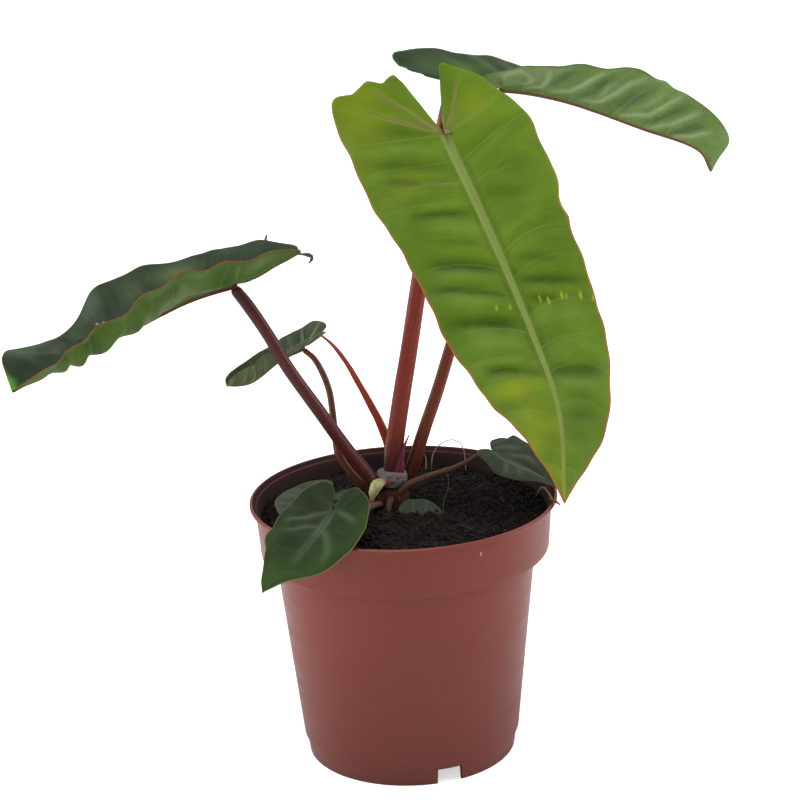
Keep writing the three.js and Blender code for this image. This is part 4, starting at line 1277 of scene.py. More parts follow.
BLADES = (
    BladeShape(
        "tall_blade", BRIGHT_LEAF, "bright_leaf", ridge=(2.1, 0.5), rib_width=(4, 1.2),
        rib=((13, 4, 268), (20.5, -2, 247.5), (34, -14, 217), (48.5, -30, 181.5), (58, -50, 153.5),
             (58, -73, 125.8)), up=((0, -0.75, 0.66), (0, -0.8, 0.6)),
        left=HalfShape(
            ((-14, 4.2), (-24.2, 8.6), (-21.6, 13.4), (-14.2, 21.8), (1, 31), (22, 33), (53, 29),
             (84, 26.5), (111, 20), (132, 11), (141.5, 4.6)), (8, 10, 7, 9), (-25, -25, -20, -20),
            (0.8, 26, 0), lean=(0, -0.06), fray=0.3,
            nicks=((25.5, 1.2, 1.6), (98, -1.6, 5.5), (106, 0.7, 2.5)),
            rim=(0, 0, 0.1, 0.25, 0.8, 1, 1)),
        right=HalfShape(
            ((-12, 3), (-26, 10), (-27, 20), (-25, 35), (-4, 36.5), (15, 36), (44, 32.5), (74, 31),
             (109, 22), (132, 8.6), (142, 3.2)), (9, 10, 10, 6), (-25, -25, -18, -20),
            (0.8, 30, 90), lean=(0.05, 0.05), lobe_veins=3, fray=0.3,
            nicks=((11.7, -1.2, 5), (29, 0.9, 1.3), (33.6, -1.4, 2), (39, 1.4, 2.4),
                   (45.5, -0.7, 1.8), (51.8, 1.2, 3)), rim=(0, 0.2, 0.4, 0.8, 1, 1, 1)),
        veins=12, quilt=0.2, crease=0.2, crease_width=2.4, crease_shade_tone=0.2, vein_strength=0.4,
        seed=0.6, rows=160, lobe_rows=48, columns=40, patches=TALL_PATCHES, strokes=TALL_STROKES),
    BladeShape(
        "left_blade", LEFT_LEAF, "dark_leaf", ridge=(1.15, 0.4), rib_width=(2.6, 1),
        rib=((-37, 4.5, 196.5), (-61, 0, 192.5), (-78, -4, 188.5), (-101, -12, 179.5),
             (-128.5, -20, 169), (-143.5, -32, 163)), up=((0, 0, 1), (0, 0, 1)),
        left=HalfShape(
            ((-9, 3), (-18, 7), (-26.5, 12), (-22.5, 16), (-10.5, 20), (11.5, 23), (33, 26),
             (50, 19), (72, 20), (88, 5)), (46, 37, 41, 36, 26, 32), (0,), (1.2, 17, 40),
            belly=(0.5, 1, 1.2, 1.2, 2, 4.2, 6, 6, 2.5, 0), fray=0.3),
        right=HalfShape(
            ((-14.5, 4.2), (-27.6, 11.6), (-23, 18), (-9.5, 24.5), (9.5, 24), (31, 26.5),
             (50.5, 24.5), (73.5, 24.5), (90, 11)), (26, 24, 28, 40, 14, 36),
            (-12, -10, -10, -11, -26, 0), (0.9, 21, 0), fray=0.4,
            nicks=((128.5, -4.4, 6.5), (134.5, 1.3, 1.5))),
        veins=9, quilt=0.5, crease=0.35, crease_width=3.2, crease_shade_tone=0.8, vein_strength=0.45,
        seed=1.9, rows=130, lobe_rows=36, columns=34, patches=LEFT_PATCHES, strokes=LEFT_STROKES),
    BladeShape(
        "right_blade", RIGHT_LEAF, "dark_leaf", ridge=(1, 0.35), rib_width=(2, 0.8),
        rib=((23, 20, 259), (43.5, 26.5, 258.5), (66.5, 35.5, 252), (98.5, 45, 237.5),
             (122, 51, 226), (127, 55.5, 216.5)), up=((0, 0, 1), (0, 0, 1)),
        left=HalfShape(
            ((-12, 4), (-28, 10.2), (-37, 15.5), (-36, 22), (-20.5, 27), (-1.5, 23), (25.5, 23),
             (46.5, 24.5), (66.5, 18.5), (85, 10)), (35, 29, 22, 30, 48, 43),
            (0, -10, -5, 0, 10, 0), (1, 23, 0),
            nicks=((32.6, -1.8, 1.6), (38.5, -0.9, 1.3), (46.2, 1.5, 3))),
        right=HalfShape(
            ((-8, 2), (-14, 6.4), (-11.4, 14.6), (-4.6, 20), (9, 21.6), (27.5, 27.6), (48.5, 30.3),
             (63, 23), (75.5, 19.6), (87.5, 15.2)), (55, 30, 36, 42, 62, 53), (0,), (0.8, 19, 60),
            lean=(0.02, -0.08), fray=0.3),
        veins=9, quilt=0.6, crease=0.3, crease_width=3, crease_shade_tone=0.3, vein_strength=0.2,
        seed=3.1, rows=130, lobe_rows=36, columns=34, patches=RIGHT_PATCHES, strokes=RIGHT_STROKES),
    BladeShape(
        "small_blade", SMALL_LEAF, "young_leaf", ridge=(0.9, 0.4), rib_width=(1.8, 0.6),
        rib=((-26, 23.5, 165), (-37, 20.5, 160.5), (-46, 16, 157.5), (-57.5, 10, 150.5),
             (-66.5, 4, 151)), up=((0, 0, 1), (0, 0, 1)),
        left=HalfShape(
            ((-6, 3), (-10, 6), (-8, 11), (-1, 13.5), (14, 12.5), (28, 10), (35, 4)),
            (28, 30, 51, 62), (0,), (0.5, 13, 0)),
        right=HalfShape(
            ((-7, 2), (-12.5, 5), (-9.5, 11.5), (-1.5, 14), (11, 10), (27, 9.5), (34.5, 4)),
            (20, 6, 24, 23), (0,), (0.5, 15, 0)),
        veins=6, rows=64, lobe_rows=24, columns=20, thickness=0.4),
    BladeShape(
        "front_blade", YOUNG_LEAF, "young_leaf", ridge=(1.1, 0.4), rib_width=(0.9, 0.4),
        rib=((-23, -24, 118), (-27, -36, 112), (-34, -53, 108), (-41, -65, 104), (-52.5, -76, 97)),
        up=((-0.1, -0.3, 0.95), (-0.1, -0.45, 0.9)),
        left=HalfShape(
            ((-9, 0.8), (-13.5, 6), (-9, 11.5), (0.5, 14.5), (16.5, 16.5), (33.5, 12), (43, 4)),
            (8, 9, 8, 8), (-25,), (0.5, 17, 0)),
        right=HalfShape(
            ((-8.5, 0.8), (-16, 7), (-10, 15), (-1, 19.5), (17, 19), (34, 13), (45, 5.5)),
            (8, 8, 9, 8), (-25,), (0.5, 19, 0)),
        veins=4, quilt=0.5, crease=0.1, crease_shade_tone=0.3, vein_strength=0.08, seed=0.9, rows=80,
        lobe_rows=32, columns=28, thickness=0.4, patches=FRONT_PATCHES, strokes=FRONT_STROKES),
    BladeShape(
        "behind_blade", GREY_LEAF, "young_leaf", ridge=(0.9, 0.4), rib_width=(1.2, 0.5),
        rib=((-25.5, -16.5, 114), (-29.5, -22, 112.6), (-34, -29, 111.2), (-38.5, -34.5, 109.6),
             (-42.5, -38.5, 108.2)), up=((-0.2, -0.1, 0.97), (-0.2, -0.2, 0.95)),
        left=HalfShape(
            ((-4, 1.8), (-7, 4.4), (-6, 8), (-1, 9), (7, 8), (13, 5.5), (17, 2.5)), (5,), (-20,),
            (0.3, 15, 0)),
        right=HalfShape(
            ((-6, 2), (-11, 4.8), (-10.5, 13), (-4, 19.5), (8, 19), (16, 13), (20, 5)),
            (10, 11, 9, 8), (-18, -18, -20, -20), (0.3, 15, 0)),
        veins=4, quilt=0.3, vein_strength=0.3, rows=40, lobe_rows=18, columns=16, thickness=0.4),
    BladeShape(
        "side_blade", GREY_LEAF, "young_leaf", ridge=(1, 0.4), rib_width=(1.3, 0.5),
        rib=((32, 16, 117.5), (35.5, 12, 118), (42.5, 8, 115.5), (52.5, 2, 111), (62, -8, 107)),
        up=((0.1, -0.15, 0.98), (0.15, -0.2, 0.96)),
        left=HalfShape(
            ((-3.6, 2.4), (-6.4, 6), (-6.2, 10), (-0.5, 12.5), (12, 14), (23.5, 8), (30, 3.5)),
            (15, 14, 15, 10), (-18, -18, -18, -20), (0.4, 13, 0)),
        right=HalfShape(
            ((-2.6, 1.2), (-3.6, 3), (-2.2, 6.2), (2, 9.6), (11, 12.5), (22.5, 7), (29, 2)),
            (6, 5, 5, 5), (-20,), (0.4, 13, 90)),
        veins=3, quilt=0.4, crease=0.1, crease_shade_tone=0.3, vein_strength=0.08, seed=2.2, rows=60,
        lobe_rows=22, columns=22, thickness=0.4, strokes=SIDE_STROKES),
    BladeShape(
        "buried_blade", GREY_LEAF, "young_leaf", ridge=(0.8, 0.4), rib_width=(0.9, 0.4),
        rib=((-3.8, -4.4, 99), (-1.8, -5, 99), (4.2, -6.5, 99), (10.2, -7.1, 98.8),
             (15.5, -7, 98.4)), up=((0, -0.7, 0.7), (0, -0.7, 0.7)),
        left=HalfShape(
            ((-0.5, 2), (0.5, 4.5), (3.5, 6.7), (8, 7.3), (12.5, 5.8), (16, 3)), (6,), (-30,),
            (0.2, 9, 0)),
        right=HalfShape(
            ((-0.4, 0.5), (0.4, 0.9), (3.5, 1.1), (8, 1.1), (12.5, 1), (16, 0.7)), (0,), (0,),
            (0, 9, 0)),
        veins=3, quilt=0.15, vein_strength=0.3, rows=36, lobe_rows=6, columns=12),
)


class Foliage:
    """All the leaf blades."""

    def build(self, effects: Effects) -> None:
        """Makes each blade and dresses it.

        Args:
            effects: the shared node groups.
        """
        for shape in BLADES:
            add_piece(LeafSheet(shape).mesh(), f"{shape.name}_leaf", shape.slot,
                      effects.dress(shape.finish), shape.name)


# ---- stalks ----
TALL_STALK = StalkFinish(
    "tall_stalk", (0.25, 0.032, 0.012), (0.13, 0.015, 0.008), (0.03, 0.005, 0.008),
    (0.14, 0.06, 0.018))
LEFT_STALK = StalkFinish(
    "left_stalk", (0.1, 0.016, 0.015), (0.055, 0.01, 0.01), (0.045, 0.016, 0.012),
    (0.06, 0.008, 0.009))
RIGHT_STALK = StalkFinish(
    "right_stalk", (0.19, 0.034, 0.008), (0.11, 0.018, 0.006), (0.05, 0.011, 0.008),
    (0.14, 0.055, 0.014))
SMALL_STALK = StalkFinish(
    "small_stalk", (0.15, 0.05, 0.028), (0.085, 0.028, 0.017), (0.06, 0.024, 0.016),
    (0.2, 0.05, 0.03))
THIN_STALK = StalkFinish(
    "thin_stalk", (0.12, 0.05, 0.03), (0.07, 0.03, 0.02), (0.06, 0.036, 0.022), (0.12, 0.03, 0.022),
    roughness=0.5)
RED_SHEATH = StalkFinish(
    "red_sheath", (0.34, 0.045, 0.015), (0.22, 0.025, 0.01), (0.12, 0.014, 0.01), (0.3, 0.1, 0.05))
PINK_SHEATH = StalkFinish(
    "pink_sheath", (0.15, 0.012, 0.042), (0.06, 0.006, 0.016), (0.07, 0.007, 0.018),
    (0.34, 0.045, 0.1), head_from=0.6)
GREEN_SHEATH = StalkFinish(
    "green_sheath", (0.42, 0.44, 0.22), (0.3, 0.25, 0.1), (0.3, 0.13, 0.09), (0.22, 0.08, 0.045),
    roughness=0.6, flecks=0.5, head_from=0.4)
ROOT_SKIN = StalkFinish(
    "root_skin", (0.1, 0.04, 0.022), (0.05, 0.02, 0.012), (0.06, 0.022, 0.016),
    (0.05, 0.022, 0.013), roughness=0.65)
ROOT_HAIR = StalkFinish(
    "root_hair", (0.07, 0.05, 0.04), (0.04, 0.03, 0.024), (0.08, 0.05, 0.04), (0.05, 0.04, 0.03),
    roughness=0.8)
DRY_STRAW = StalkFinish(
    "dry_straw", (0.3, 0.2, 0.11), (0.2, 0.12, 0.06), (0.08, 0.05, 0.03), (0.3, 0.2, 0.11),
    roughness=0.7)
DRY_BARK = StalkFinish(
    "dry_bark", (0.3, 0.1, 0.04), (0.14, 0.05, 0.025), (0.2, 0.06, 0.03), (0.1, 0.04, 0.02),
    roughness=0.75)
DRY_CURL = StalkFinish(
    "dry_curl", (0.13, 0.075, 0.035), (0.06, 0.035, 0.018), (0.1, 0.1, 0.04), (0.06, 0.03, 0.018),
    roughness=0.7)


@dataclass(frozen=True)
class Swelling:
    """A rounded ring on a tube."""

    share: float
    extra: float
    spread: float


@dataclass(frozen=True)
class TubeShape:
    """A stalk, sheath or root: its line, its radii at even steps, and its swellings."""

    name: str
    finish: StalkFinish
    slot: str
    path: tuple[Point, ...]
    radii: Run
    swellings: tuple[Swelling, ...] = ()
    flat: float = 1.0
    sides: int = 28

    def mesh(self) -> Mesh:
        """Builds the tube with rounded ends and marks for its skin."""
        line = SmoothLine(self.path)
        rings = max(16, int(line.length / 1.2))
        share = np.linspace(0, 1, rings)
        radius = eased(self.radii, share)
        for swell in self.swellings:
            radius = radius + swell.extra * np.exp(-((share - swell.share) / swell.spread) ** 2)
        centre = line.at(share * line.length)
        tangent = unit(np.gradient(centre, axis=0))
        caps = np.radians((75, 55, 30))
        centre = np.vstack([centre[0] - tangent[0] * radius[0] * np.sin(caps)[:, None], centre,
                            centre[-1] + tangent[-1] * radius[-1] * np.sin(caps[::-1])[:, None]])
        share = np.concatenate([np.zeros(3), share, np.ones(3)])
        radius = np.concatenate([radius[0] * np.cos(caps), radius, radius[-1] * np.cos(caps[::-1])])
        tangent = np.vstack([tangent[:1]] * 3 + [tangent] + [tangent[-1:]] * 3)
        side = unit(np.cross(tangent[0], (0.3, 0.9, 0.1)))
        angle = 2 * np.pi * np.arange(self.sides) / self.sides
        points, skin = [], []
        for c, t, r, s in zip(centre, tangent, radius, share):
            side = unit(side - t * np.dot(side, t))
            other = np.cross(t, side)
            ring = side * np.cos(angle)[:, None] + other * np.sin(angle)[:, None] * self.flat
            points.append(c + ring * r)
            skin.append(np.stack([np.cos(angle) * r, np.sin(angle) * r,
                                  np.full_like(angle, s * line.length * 0.06)], axis=1))
        every = np.vstack(points)
        return mesh_from(self.name, every, outward(every, ring_faces(len(centre), self.sides)),
                         {"along": np.repeat(share, self.sides), "skin": np.vstack(skin) * MM})


TUBES = (
    TubeShape(
        "tall_stalk", TALL_STALK, "stalk",
        ((-4, 8, 104.2), (-3.4, 8.5, 117), (0.4, 10, 140), (4.4, 11.5, 160.5), (8, 12.5, 180.5),
         (15, 14, 219), (20.2, 13, 247), (22.4, 9, 257.5), (21.8, 3, 252.4)),
        (3.6, 3.5, 3.3, 3.1, 2.9, 2.3)),
    TubeShape(
        "left_stalk", LEFT_STALK, "stalk",
        ((-9, 7, 101.8), (-11.8, 5.8, 108.8), (-21, 5, 122.5), (-31.5, 3, 140), (-42.5, 2, 158),
         (-49.5, 1, 172), (-56.5, 0.5, 184), (-60.2, 0.2, 189.4)), (2.9, 2.7, 2.6, 2.5, 2.4, 2.2),
        (Swelling(0.93, 0.2, 0.06),)),
    TubeShape(
        "right_stalk", RIGHT_STALK, "stalk",
        ((0, 10.8, 104), (3.6, 11, 111.5), (9.2, 12, 127.5), (15, 15, 142.5), (20.5, 18, 158.5),
         (29, 22, 184.5), (36.5, 25, 215.5), (41, 26, 242.5), (42.7, 26.4, 255.4)),
        (2.8, 2.5, 2.4, 2.3, 2.2, 2.1)),
    TubeShape(
        "small_stalk", SMALL_STALK, "stalk",
        ((-8.6, 12.4, 101.2), (-14.5, 12.6, 104.4), (-21, 13, 111.5), (-25, 14, 119),
         (-26, 16, 128), (-26.5, 17, 135), (-27.5, 18.5, 143), (-30, 19.5, 150.5), (-33, 20, 156),
         (-36.1, 20.5, 158.8)), (1.6, 1.5, 1.4, 1.35, 1.3, 1.1), (Swelling(0.36, 0.35, 0.025),),
        sides=20),
    TubeShape(
        "front_stalk", THIN_STALK, "stalk",
        ((-8.4, 2.4, 100.4), (-10, -3, 102.6), (-13.5, -14, 105.4), (-19.6, -25.8, 107),
         (-26.6, -35.2, 110.5)), (1.3, 1.2, 1.1), sides=18),
    TubeShape(
        "behind_stalk", THIN_STALK, "stalk",
        ((-10.9, 4.6, 97.2), (-15, 1.6, 101.6), (-19, -3.5, 107), (-24, -12, 109.6),
         (-28.8, -21.6, 109.8)), (1.2, 1.1, 1), sides=18),
    TubeShape(
        "side_stalk", THIN_STALK, "stalk",
        ((-1.5, 3.6, 104.6), (1.5, 3.8, 107.4), (5.8, 4.6, 109.2), (11.2, 6, 110.6),
         (18.3, 8, 111.9), (24.7, 9.6, 114), (30.4, 11.4, 116.4), (34, 12, 117)),
        (1.6, 1.4, 1.1, 0.95, 0.85, 0.8), (Swelling(0.53, 0.4, 0.025),), sides=20),
    TubeShape(
        "red_sheath", RED_SHEATH, "red_sheath",
        ((-3.8, 13.4, 101.5), (-3.8, 14.4, 110), (-5, 14.2, 120.5), (-7.9, 13.7, 130),
         (-11.4, 13.4, 138), (-15.4, 13, 146.5), (-20.5, 12.6, 156.5), (-25.3, 12.4, 163.5),
         (-29.2, 12.4, 167.2)), (1.9, 1.9, 1.8, 1.5, 1.2, 0.9, 0.5), sides=20),
    TubeShape(
        "pink_sheath", PINK_SHEATH, "pink_sheath",
        ((-1.6, 6.2, 109.6), (-1.2, 6.4, 113.5), (-0.4, 6.6, 118), (1, 6.8, 122.4),
         (3.1, 7.2, 127)), (2.2, 2.1, 1.45, 0.55, 0.25), sides=20),
    TubeShape(
        "green_sheath", GREEN_SHEATH, "green_sheath",
        ((-7.8, 2.6, 109.8), (-9.8, 1, 109.4), (-11.2, -0.4, 107.4), (-12.2, -2, 104.6),
         (-12.6, -3, 101.8)), (1.5, 2, 1.6, 0.8, 0.4), flat=1.4, sides=24),
    TubeShape(
        "air_root", ROOT_SKIN, "root", ((-4.8, 1.6, 103), (-5.8, -0.6, 100.8), (-6.3, -3.2, 97.6)),
        (1.2, 1.2, 0.8), sides=16),
)


LITTER = (
    TubeShape(
        "straw_loop", DRY_STRAW, "root",
        ((11.8, 45, 98), (12.3, 46, 103.6), (13, 47, 105.6), (15.7, 48, 108.8), (20.7, 48.5, 110.5),
         (24.1, 48, 108.8), (25.4, 47, 106), (26, 46, 98)), (0.25, 0.22, 0.2, 0.25), sides=8),
    TubeShape(
        "straw_end", DRY_STRAW, "root", ((9.5, 47, 97.5), (9.8, 48, 103), (8.9, 48, 106)),
        (0.3, 0.25, 0.12), sides=8),
    TubeShape(
        "rim_twig", DRY_STRAW, "root",
        ((52.5, 12, 98), (54.6, 4.1, 104.5), (56.9, -9.9, 105.6), (57.9, -17, 105.6)),
        (0.35, 0.45, 0.35, 0.2), sides=8),
    TubeShape(
        "rim_bark", DRY_BARK, "root",
        ((56.2, -12.5, 105.9), (58.3, -16.5, 106), (59.7, -19, 105.6)), (0.4, 0.9, 0.4), flat=0.6,
        sides=10),
    TubeShape(
        "hair_root", ROOT_HAIR, "root",
        ((17.6, 7.8, 111.4), (17.8, 3, 107), (15.4, -5, 102.4), (15.5, -10, 98.6)),
        (0.2, 0.16, 0.16), sides=8),
    TubeShape(
        "dried_curl", DRY_CURL, "dark_leaf",
        ((-38.6, -2.6, 204.4), (-35.5, -2.9, 204), (-32.4, -3, 203.6), (-31, -3.2, 202.8),
         (-31.4, -3.3, 201.4), (-32.2, -3.3, 200.6)), (0.5, 0.35, 0.5, 0.9, 0.7, 0.3), flat=0.7,
        sides=12),
    TubeShape(
        "red_spike", RED_SHEATH, "dark_leaf",
        ((-49.7, 22.6, 202.4), (-49.3, 23.1, 204.3), (-48.7, 23.2, 206)), (0.7, 0.5, 0.15),
        sides=10),
)


class Stalks:
    """All the stalks, sheaths and roots, and the dry litter round them."""

    def build(self, effects: Effects) -> None:
        """Makes each tube and dresses it.

        Args:
            effects: the shared node groups.
        """
        for shape in TUBES + LITTER:
            replaced = (shape.name,) if shape in TUBES else ()
            add_piece(shape.mesh(), f"{shape.name}_skin", shape.slot, effects.dress(shape.finish),
                      *replaced)


# ---- crown ----
CROWN_BARK = GroundFinish("crown_bark", (0.025, 0.01, 0.009), (0.1, 0.035, 0.028),
                          (0.22, 0.1, 0.08), grain=500.0, depth=0.7)
LEAF_SCAR = GroundFinish("leaf_scar", (0.08, 0.06, 0.062), (0.24, 0.2, 0.205), (0.5, 0.46, 0.47),
                         grain=450.0, depth=0.6)


@dataclass
class Crown:
    """The short stem that the stalks grow from, and its pale leaf-scar collar."""

    x: float = -4.5
    y: float = 8.0
    foot: float = 91.0
    top: float = 106.4
    radius: float = 6.8
    collar: tuple[float, float, float, float, float] = (-4.1, 7.8, 107.0, 112.8, 6.0)

    def _lathe(self, name: str, x: float, y: float, profile: Sequence[Pair],
               roughen: float) -> Mesh:
        """Turns a profile into a lumpy closed stem.

        Args:
            name: the mesh's name.
            x: the axis, across.
            y: the axis, in depth.
            profile: (radius, height) from foot to top.
            roughen: how far the lumps reach.

        Returns:
            The mesh.
        """
        line = SmoothLine(profile).at(np.linspace(0, SmoothLine(profile).length, 26))
        n = 48
        angle = 2 * np.pi * np.arange(n) / n
        points = []
        for radius, height in line:
            lump = 1 + roughen * (0.6 * np.sin(3 * angle + height) * np.sin(height * 1.3)
                                  + 0.4 * np.sin(7 * angle - 2 * height))
            points.append(np.stack([x + radius * lump * np.cos(angle),
                                    y + radius * lump * np.sin(angle), np.full(n, height)], axis=1))
        every = np.vstack(points)
        return mesh_from(name, every, outward(every, ring_faces(len(line), n)))

    def build(self, effects: Effects) -> None:
        """Makes the stem and its collar.

        Args:
            effects: the shared node groups.
        """
        r, top = self.radius, self.top
        stem = self._lathe("stem", self.x, self.y,
                           ((r * 0.7, self.foot), (r * 0.95, self.foot + 4), (r, top - 5),
                            (r * 0.96, top - 2), (r * 0.8, top - 0.4), (0.4, top)), 0.05)
        add_piece(stem, "crown_stem", "crown", effects.dress(CROWN_BARK), "crown")
        x, y, foot, high, radius = self.collar
        collar = self._lathe("collar", x, y,
                             ((radius * 0.86, foot), (radius, (foot + high) / 2),
                              (radius * 0.92, high - 0.7), (radius * 0.7, high),
                              (0.4, high + 0.1)), 0.07)
        add_piece(collar, "crown_collar", "leaf_scar", effects.dress(LEAF_SCAR), "crown_ring")


# ---- pot ----
@dataclass
class NurseryPot:
    """The moulded pot: lip, collar, tapering body, notched foot and a raised floor with holes."""

    height: float = 105.0
    rim_radius: float = 60.0
    lip: float = 1.5
    band: float = 19.5
    band_top: float = 57.8
    band_foot: float = 56.4
    body_top: float = 50.8
    body_foot: float = 42.8
    foot_height: float = 7.4
    foot_radius: float = 41.9
    base_radius: float = 41.0
    wall: float = 1.3
    floor: float = 6.8
    notch: tuple[float, float, int, float] = (10.0, 6.3, 3, -70.0)
    drain: tuple[float, float, int] = (3.5, 27.0, 6)
    sides: int = 192
    finish: MouldedFinish = MouldedFinish(
        "pot_plastic", (0.165, 0.03, 0.019), (0.195, 0.04, 0.027), scuffs=(
            Scuff((28.1, -50.1, 98.6), 0.35, 0.9, (0.5, 0.34, 0.36)),
            Scuff((-1.5, -57.2, 96.2), 0.6, 0.4, (0.06, 0.02, 0.015)),
            Scuff((-21.8, -36.1, 1.0), 1.4, 0.6, (0.06, 0.025, 0.01)),
            Scuff((-12.0, -56.2, 92.0), 0.25, 0.3, (0.3, 0.12, 0.1))))

    def profile(self) -> list[Pair]:
        """Closed section of the pot, (radius, height), with its edges rounded."""
        top, neck, wall, floor = self.height, self.height - self.lip, self.wall, self.floor
        shelf = neck - self.band
        base, foot, step = self.base_radius, self.foot_radius, self.foot_height
        waist, body, collar = self.body_foot, self.body_top, self.band_foot
        brim, rim = self.band_top, self.rim_radius
        outer = [(base - 0.25, 0), (base, 0.25), (foot, step - 0.6), (foot + 0.15, step - 0.2),
                 (waist - 0.1, step + 0.25), (waist + 0.05, step + 0.6), (body, shelf - 2.4),
                 (body + 0.4, shelf - 1.6), (collar - 0.9, shelf - 0.25),
                 (collar - 0.3, shelf - 0.05), (collar, shelf + 0.4), (brim - 0.1, neck - 2.2),
                 (brim + 0.25, neck - 1.1), (rim - 0.35, neck - 0.1), (rim, neck + 0.35),
                 (rim, top - 0.45), (rim - 0.4, top - 0.05)]
        inner = [(rim - 0.9, top), (rim - 1.25, top - 0.3), (brim - wall + 0.5, top - 2.2),
                 (brim - wall, top - 4), (collar - wall, shelf + 1.6), (body - wall, shelf - 1),
                 (waist - wall + 0.4, floor + wall + 1.5), (waist - wall - 1.1, floor + wall)]
        under = [(0, floor + wall), (0, floor), (base - wall - 0.6, floor), (base - wall, 0.2),
                 (base - wall + 0.2, 0)]
        return [*outer, *inner, *under]

    def _shell(self) -> Object:
        """The turned shell, closed on its axis."""
        section, n = self.profile(), self.sides
        angle = 2 * np.pi * (np.arange(n) + 0.5) / n
        rings, points = [], []
        for radius, height in section:
            if radius == 0:
                rings.append([len(points)] * n)
                points.append((0, 0, height))
                continue
            rings.append(list(range(len(points), len(points) + n)))
            points += [(radius * math.cos(a), radius * math.sin(a), height) for a in angle]
        faces = []
        for low, high in zip(rings, rings[1:] + rings[:1]):
            for j in range(n):
                face = tuple(dict.fromkeys((low[j], low[(j + 1) % n], high[(j + 1) % n], high[j])))
                if len(face) > 2:
                    faces.append(face)
        every = np.array(points, float)
        return new_object(mesh_from("pot_shell", every, outward(every, faces)), "pot_shell")

    def _cutter(self, corners: Array, name: str, top: float, bottom: float) -> Object:
        """An upright prism to cut with.

        Args:
            corners: its outline, (x, y), anticlockwise.
            name: its name.
            top: its upper end.
            bottom: its lower end.

        Returns:
            The cutter.
        """
        n = len(corners)
        points = np.array([(*c, z) for z in (bottom, top) for c in corners])
        faces = [tuple(reversed(range(n))), tuple(range(n, 2 * n))]
        faces += [(i, (i + 1) % n, n + (i + 1) % n, n + i) for i in range(n)]
        return new_object(mesh_from(name, points, outward(points, faces)), name)

    def build(self, effects: Effects) -> None:
        """Makes the pot, cuts its notches and drain holes, and shades it smooth with sharp edges.

        Args:
            effects: the shared node groups.
        """
        shell = self._shell()
        width, height, count, first = self.notch
        cutters = []
        for i in range(count):
            turn = math.radians(first + 360 / count * i)
            ahead = np.array((math.cos(turn), math.sin(turn)))
            aside = np.array((-math.sin(turn), math.cos(turn))) * width / 2
            near, far = self.base_radius * 0.75, self.base_radius * 1.25
            corners = np.array([ahead * near - aside, ahead * far - aside, ahead * far + aside,
                                ahead * near + aside])
            cutters.append(self._cutter(corners, f"notch_{i}", height, -height))
        radius, circle, holes = self.drain
        for i in range(holes):
            turn = math.radians(360 / holes * (i + 0.5))
            angle = 2 * np.pi * np.arange(32) / 32
            corners = np.stack([circle * math.cos(turn) + radius * np.cos(angle),
                                circle * math.sin(turn) + radius * np.sin(angle)], axis=1)
            cutters.append(self._cutter(corners, f"drain_{i}", self.floor + self.wall * 2,
                                        self.floor - self.wall))
        for cutter in cutters:
            cut = shell.modifiers.new(cutter.name, "BOOLEAN")
            cut.object, cut.operation, cut.solver = cutter, "DIFFERENCE", "EXACT"
        mesh = settled(shell, "pot_body")
        for cutter in cutters:
            bpy.data.objects.remove(cutter)
        mesh.shade_smooth()
        mesh.set_sharp_from_angle(angle=math.radians(38))
        add_piece(mesh, "pot_body", "pot", effects.dress(self.finish), "pot")


# ---- peat ----
PEAT = GroundFinish("peat", (0.0035, 0.003, 0.003), (0.019, 0.0155, 0.0145), (0.05, 0.045, 0.045),
                    grain=700.0, specks=0.03, depth=1.2)
CRUMBS = GroundFinish("peat_crumbs", (0.003, 0.0025, 0.0025), (0.02, 0.0145, 0.0125),
                      (0.06, 0.048, 0.043), grain=500.0, depth=0.4)
FIBRES = GroundFinish("peat_fibres", (0.01, 0.006, 0.005), (0.05, 0.034, 0.025),
                      (0.12, 0.09, 0.07), grain=120.0, depth=0.1)
FLECKS = GroundFinish("peat_flecks", (0.05, 0.045, 0.042), (0.13, 0.12, 0.11),
                      (0.24, 0.22, 0.21), grain=400.0, depth=0.3)


@dataclass(frozen=True)
class Scatter:
    """What is strewn over the peat: how many to the square metre and how large, in metres."""

    name: str
    finish: GroundFinish
    density: float
    least: float
    largest: float
    seed: int
    fibres: bool = False


SCATTERS = (Scatter("crumbs", CRUMBS, 620000.0, 0.0005, 0.0024, 4),
            Scatter("fibres", FIBRES, 9000.0, 0.003, 0.011, 9, fibres=True),
            Scatter("flecks", FLECKS, 6000.0, 0.0004, 0.0012, 21))


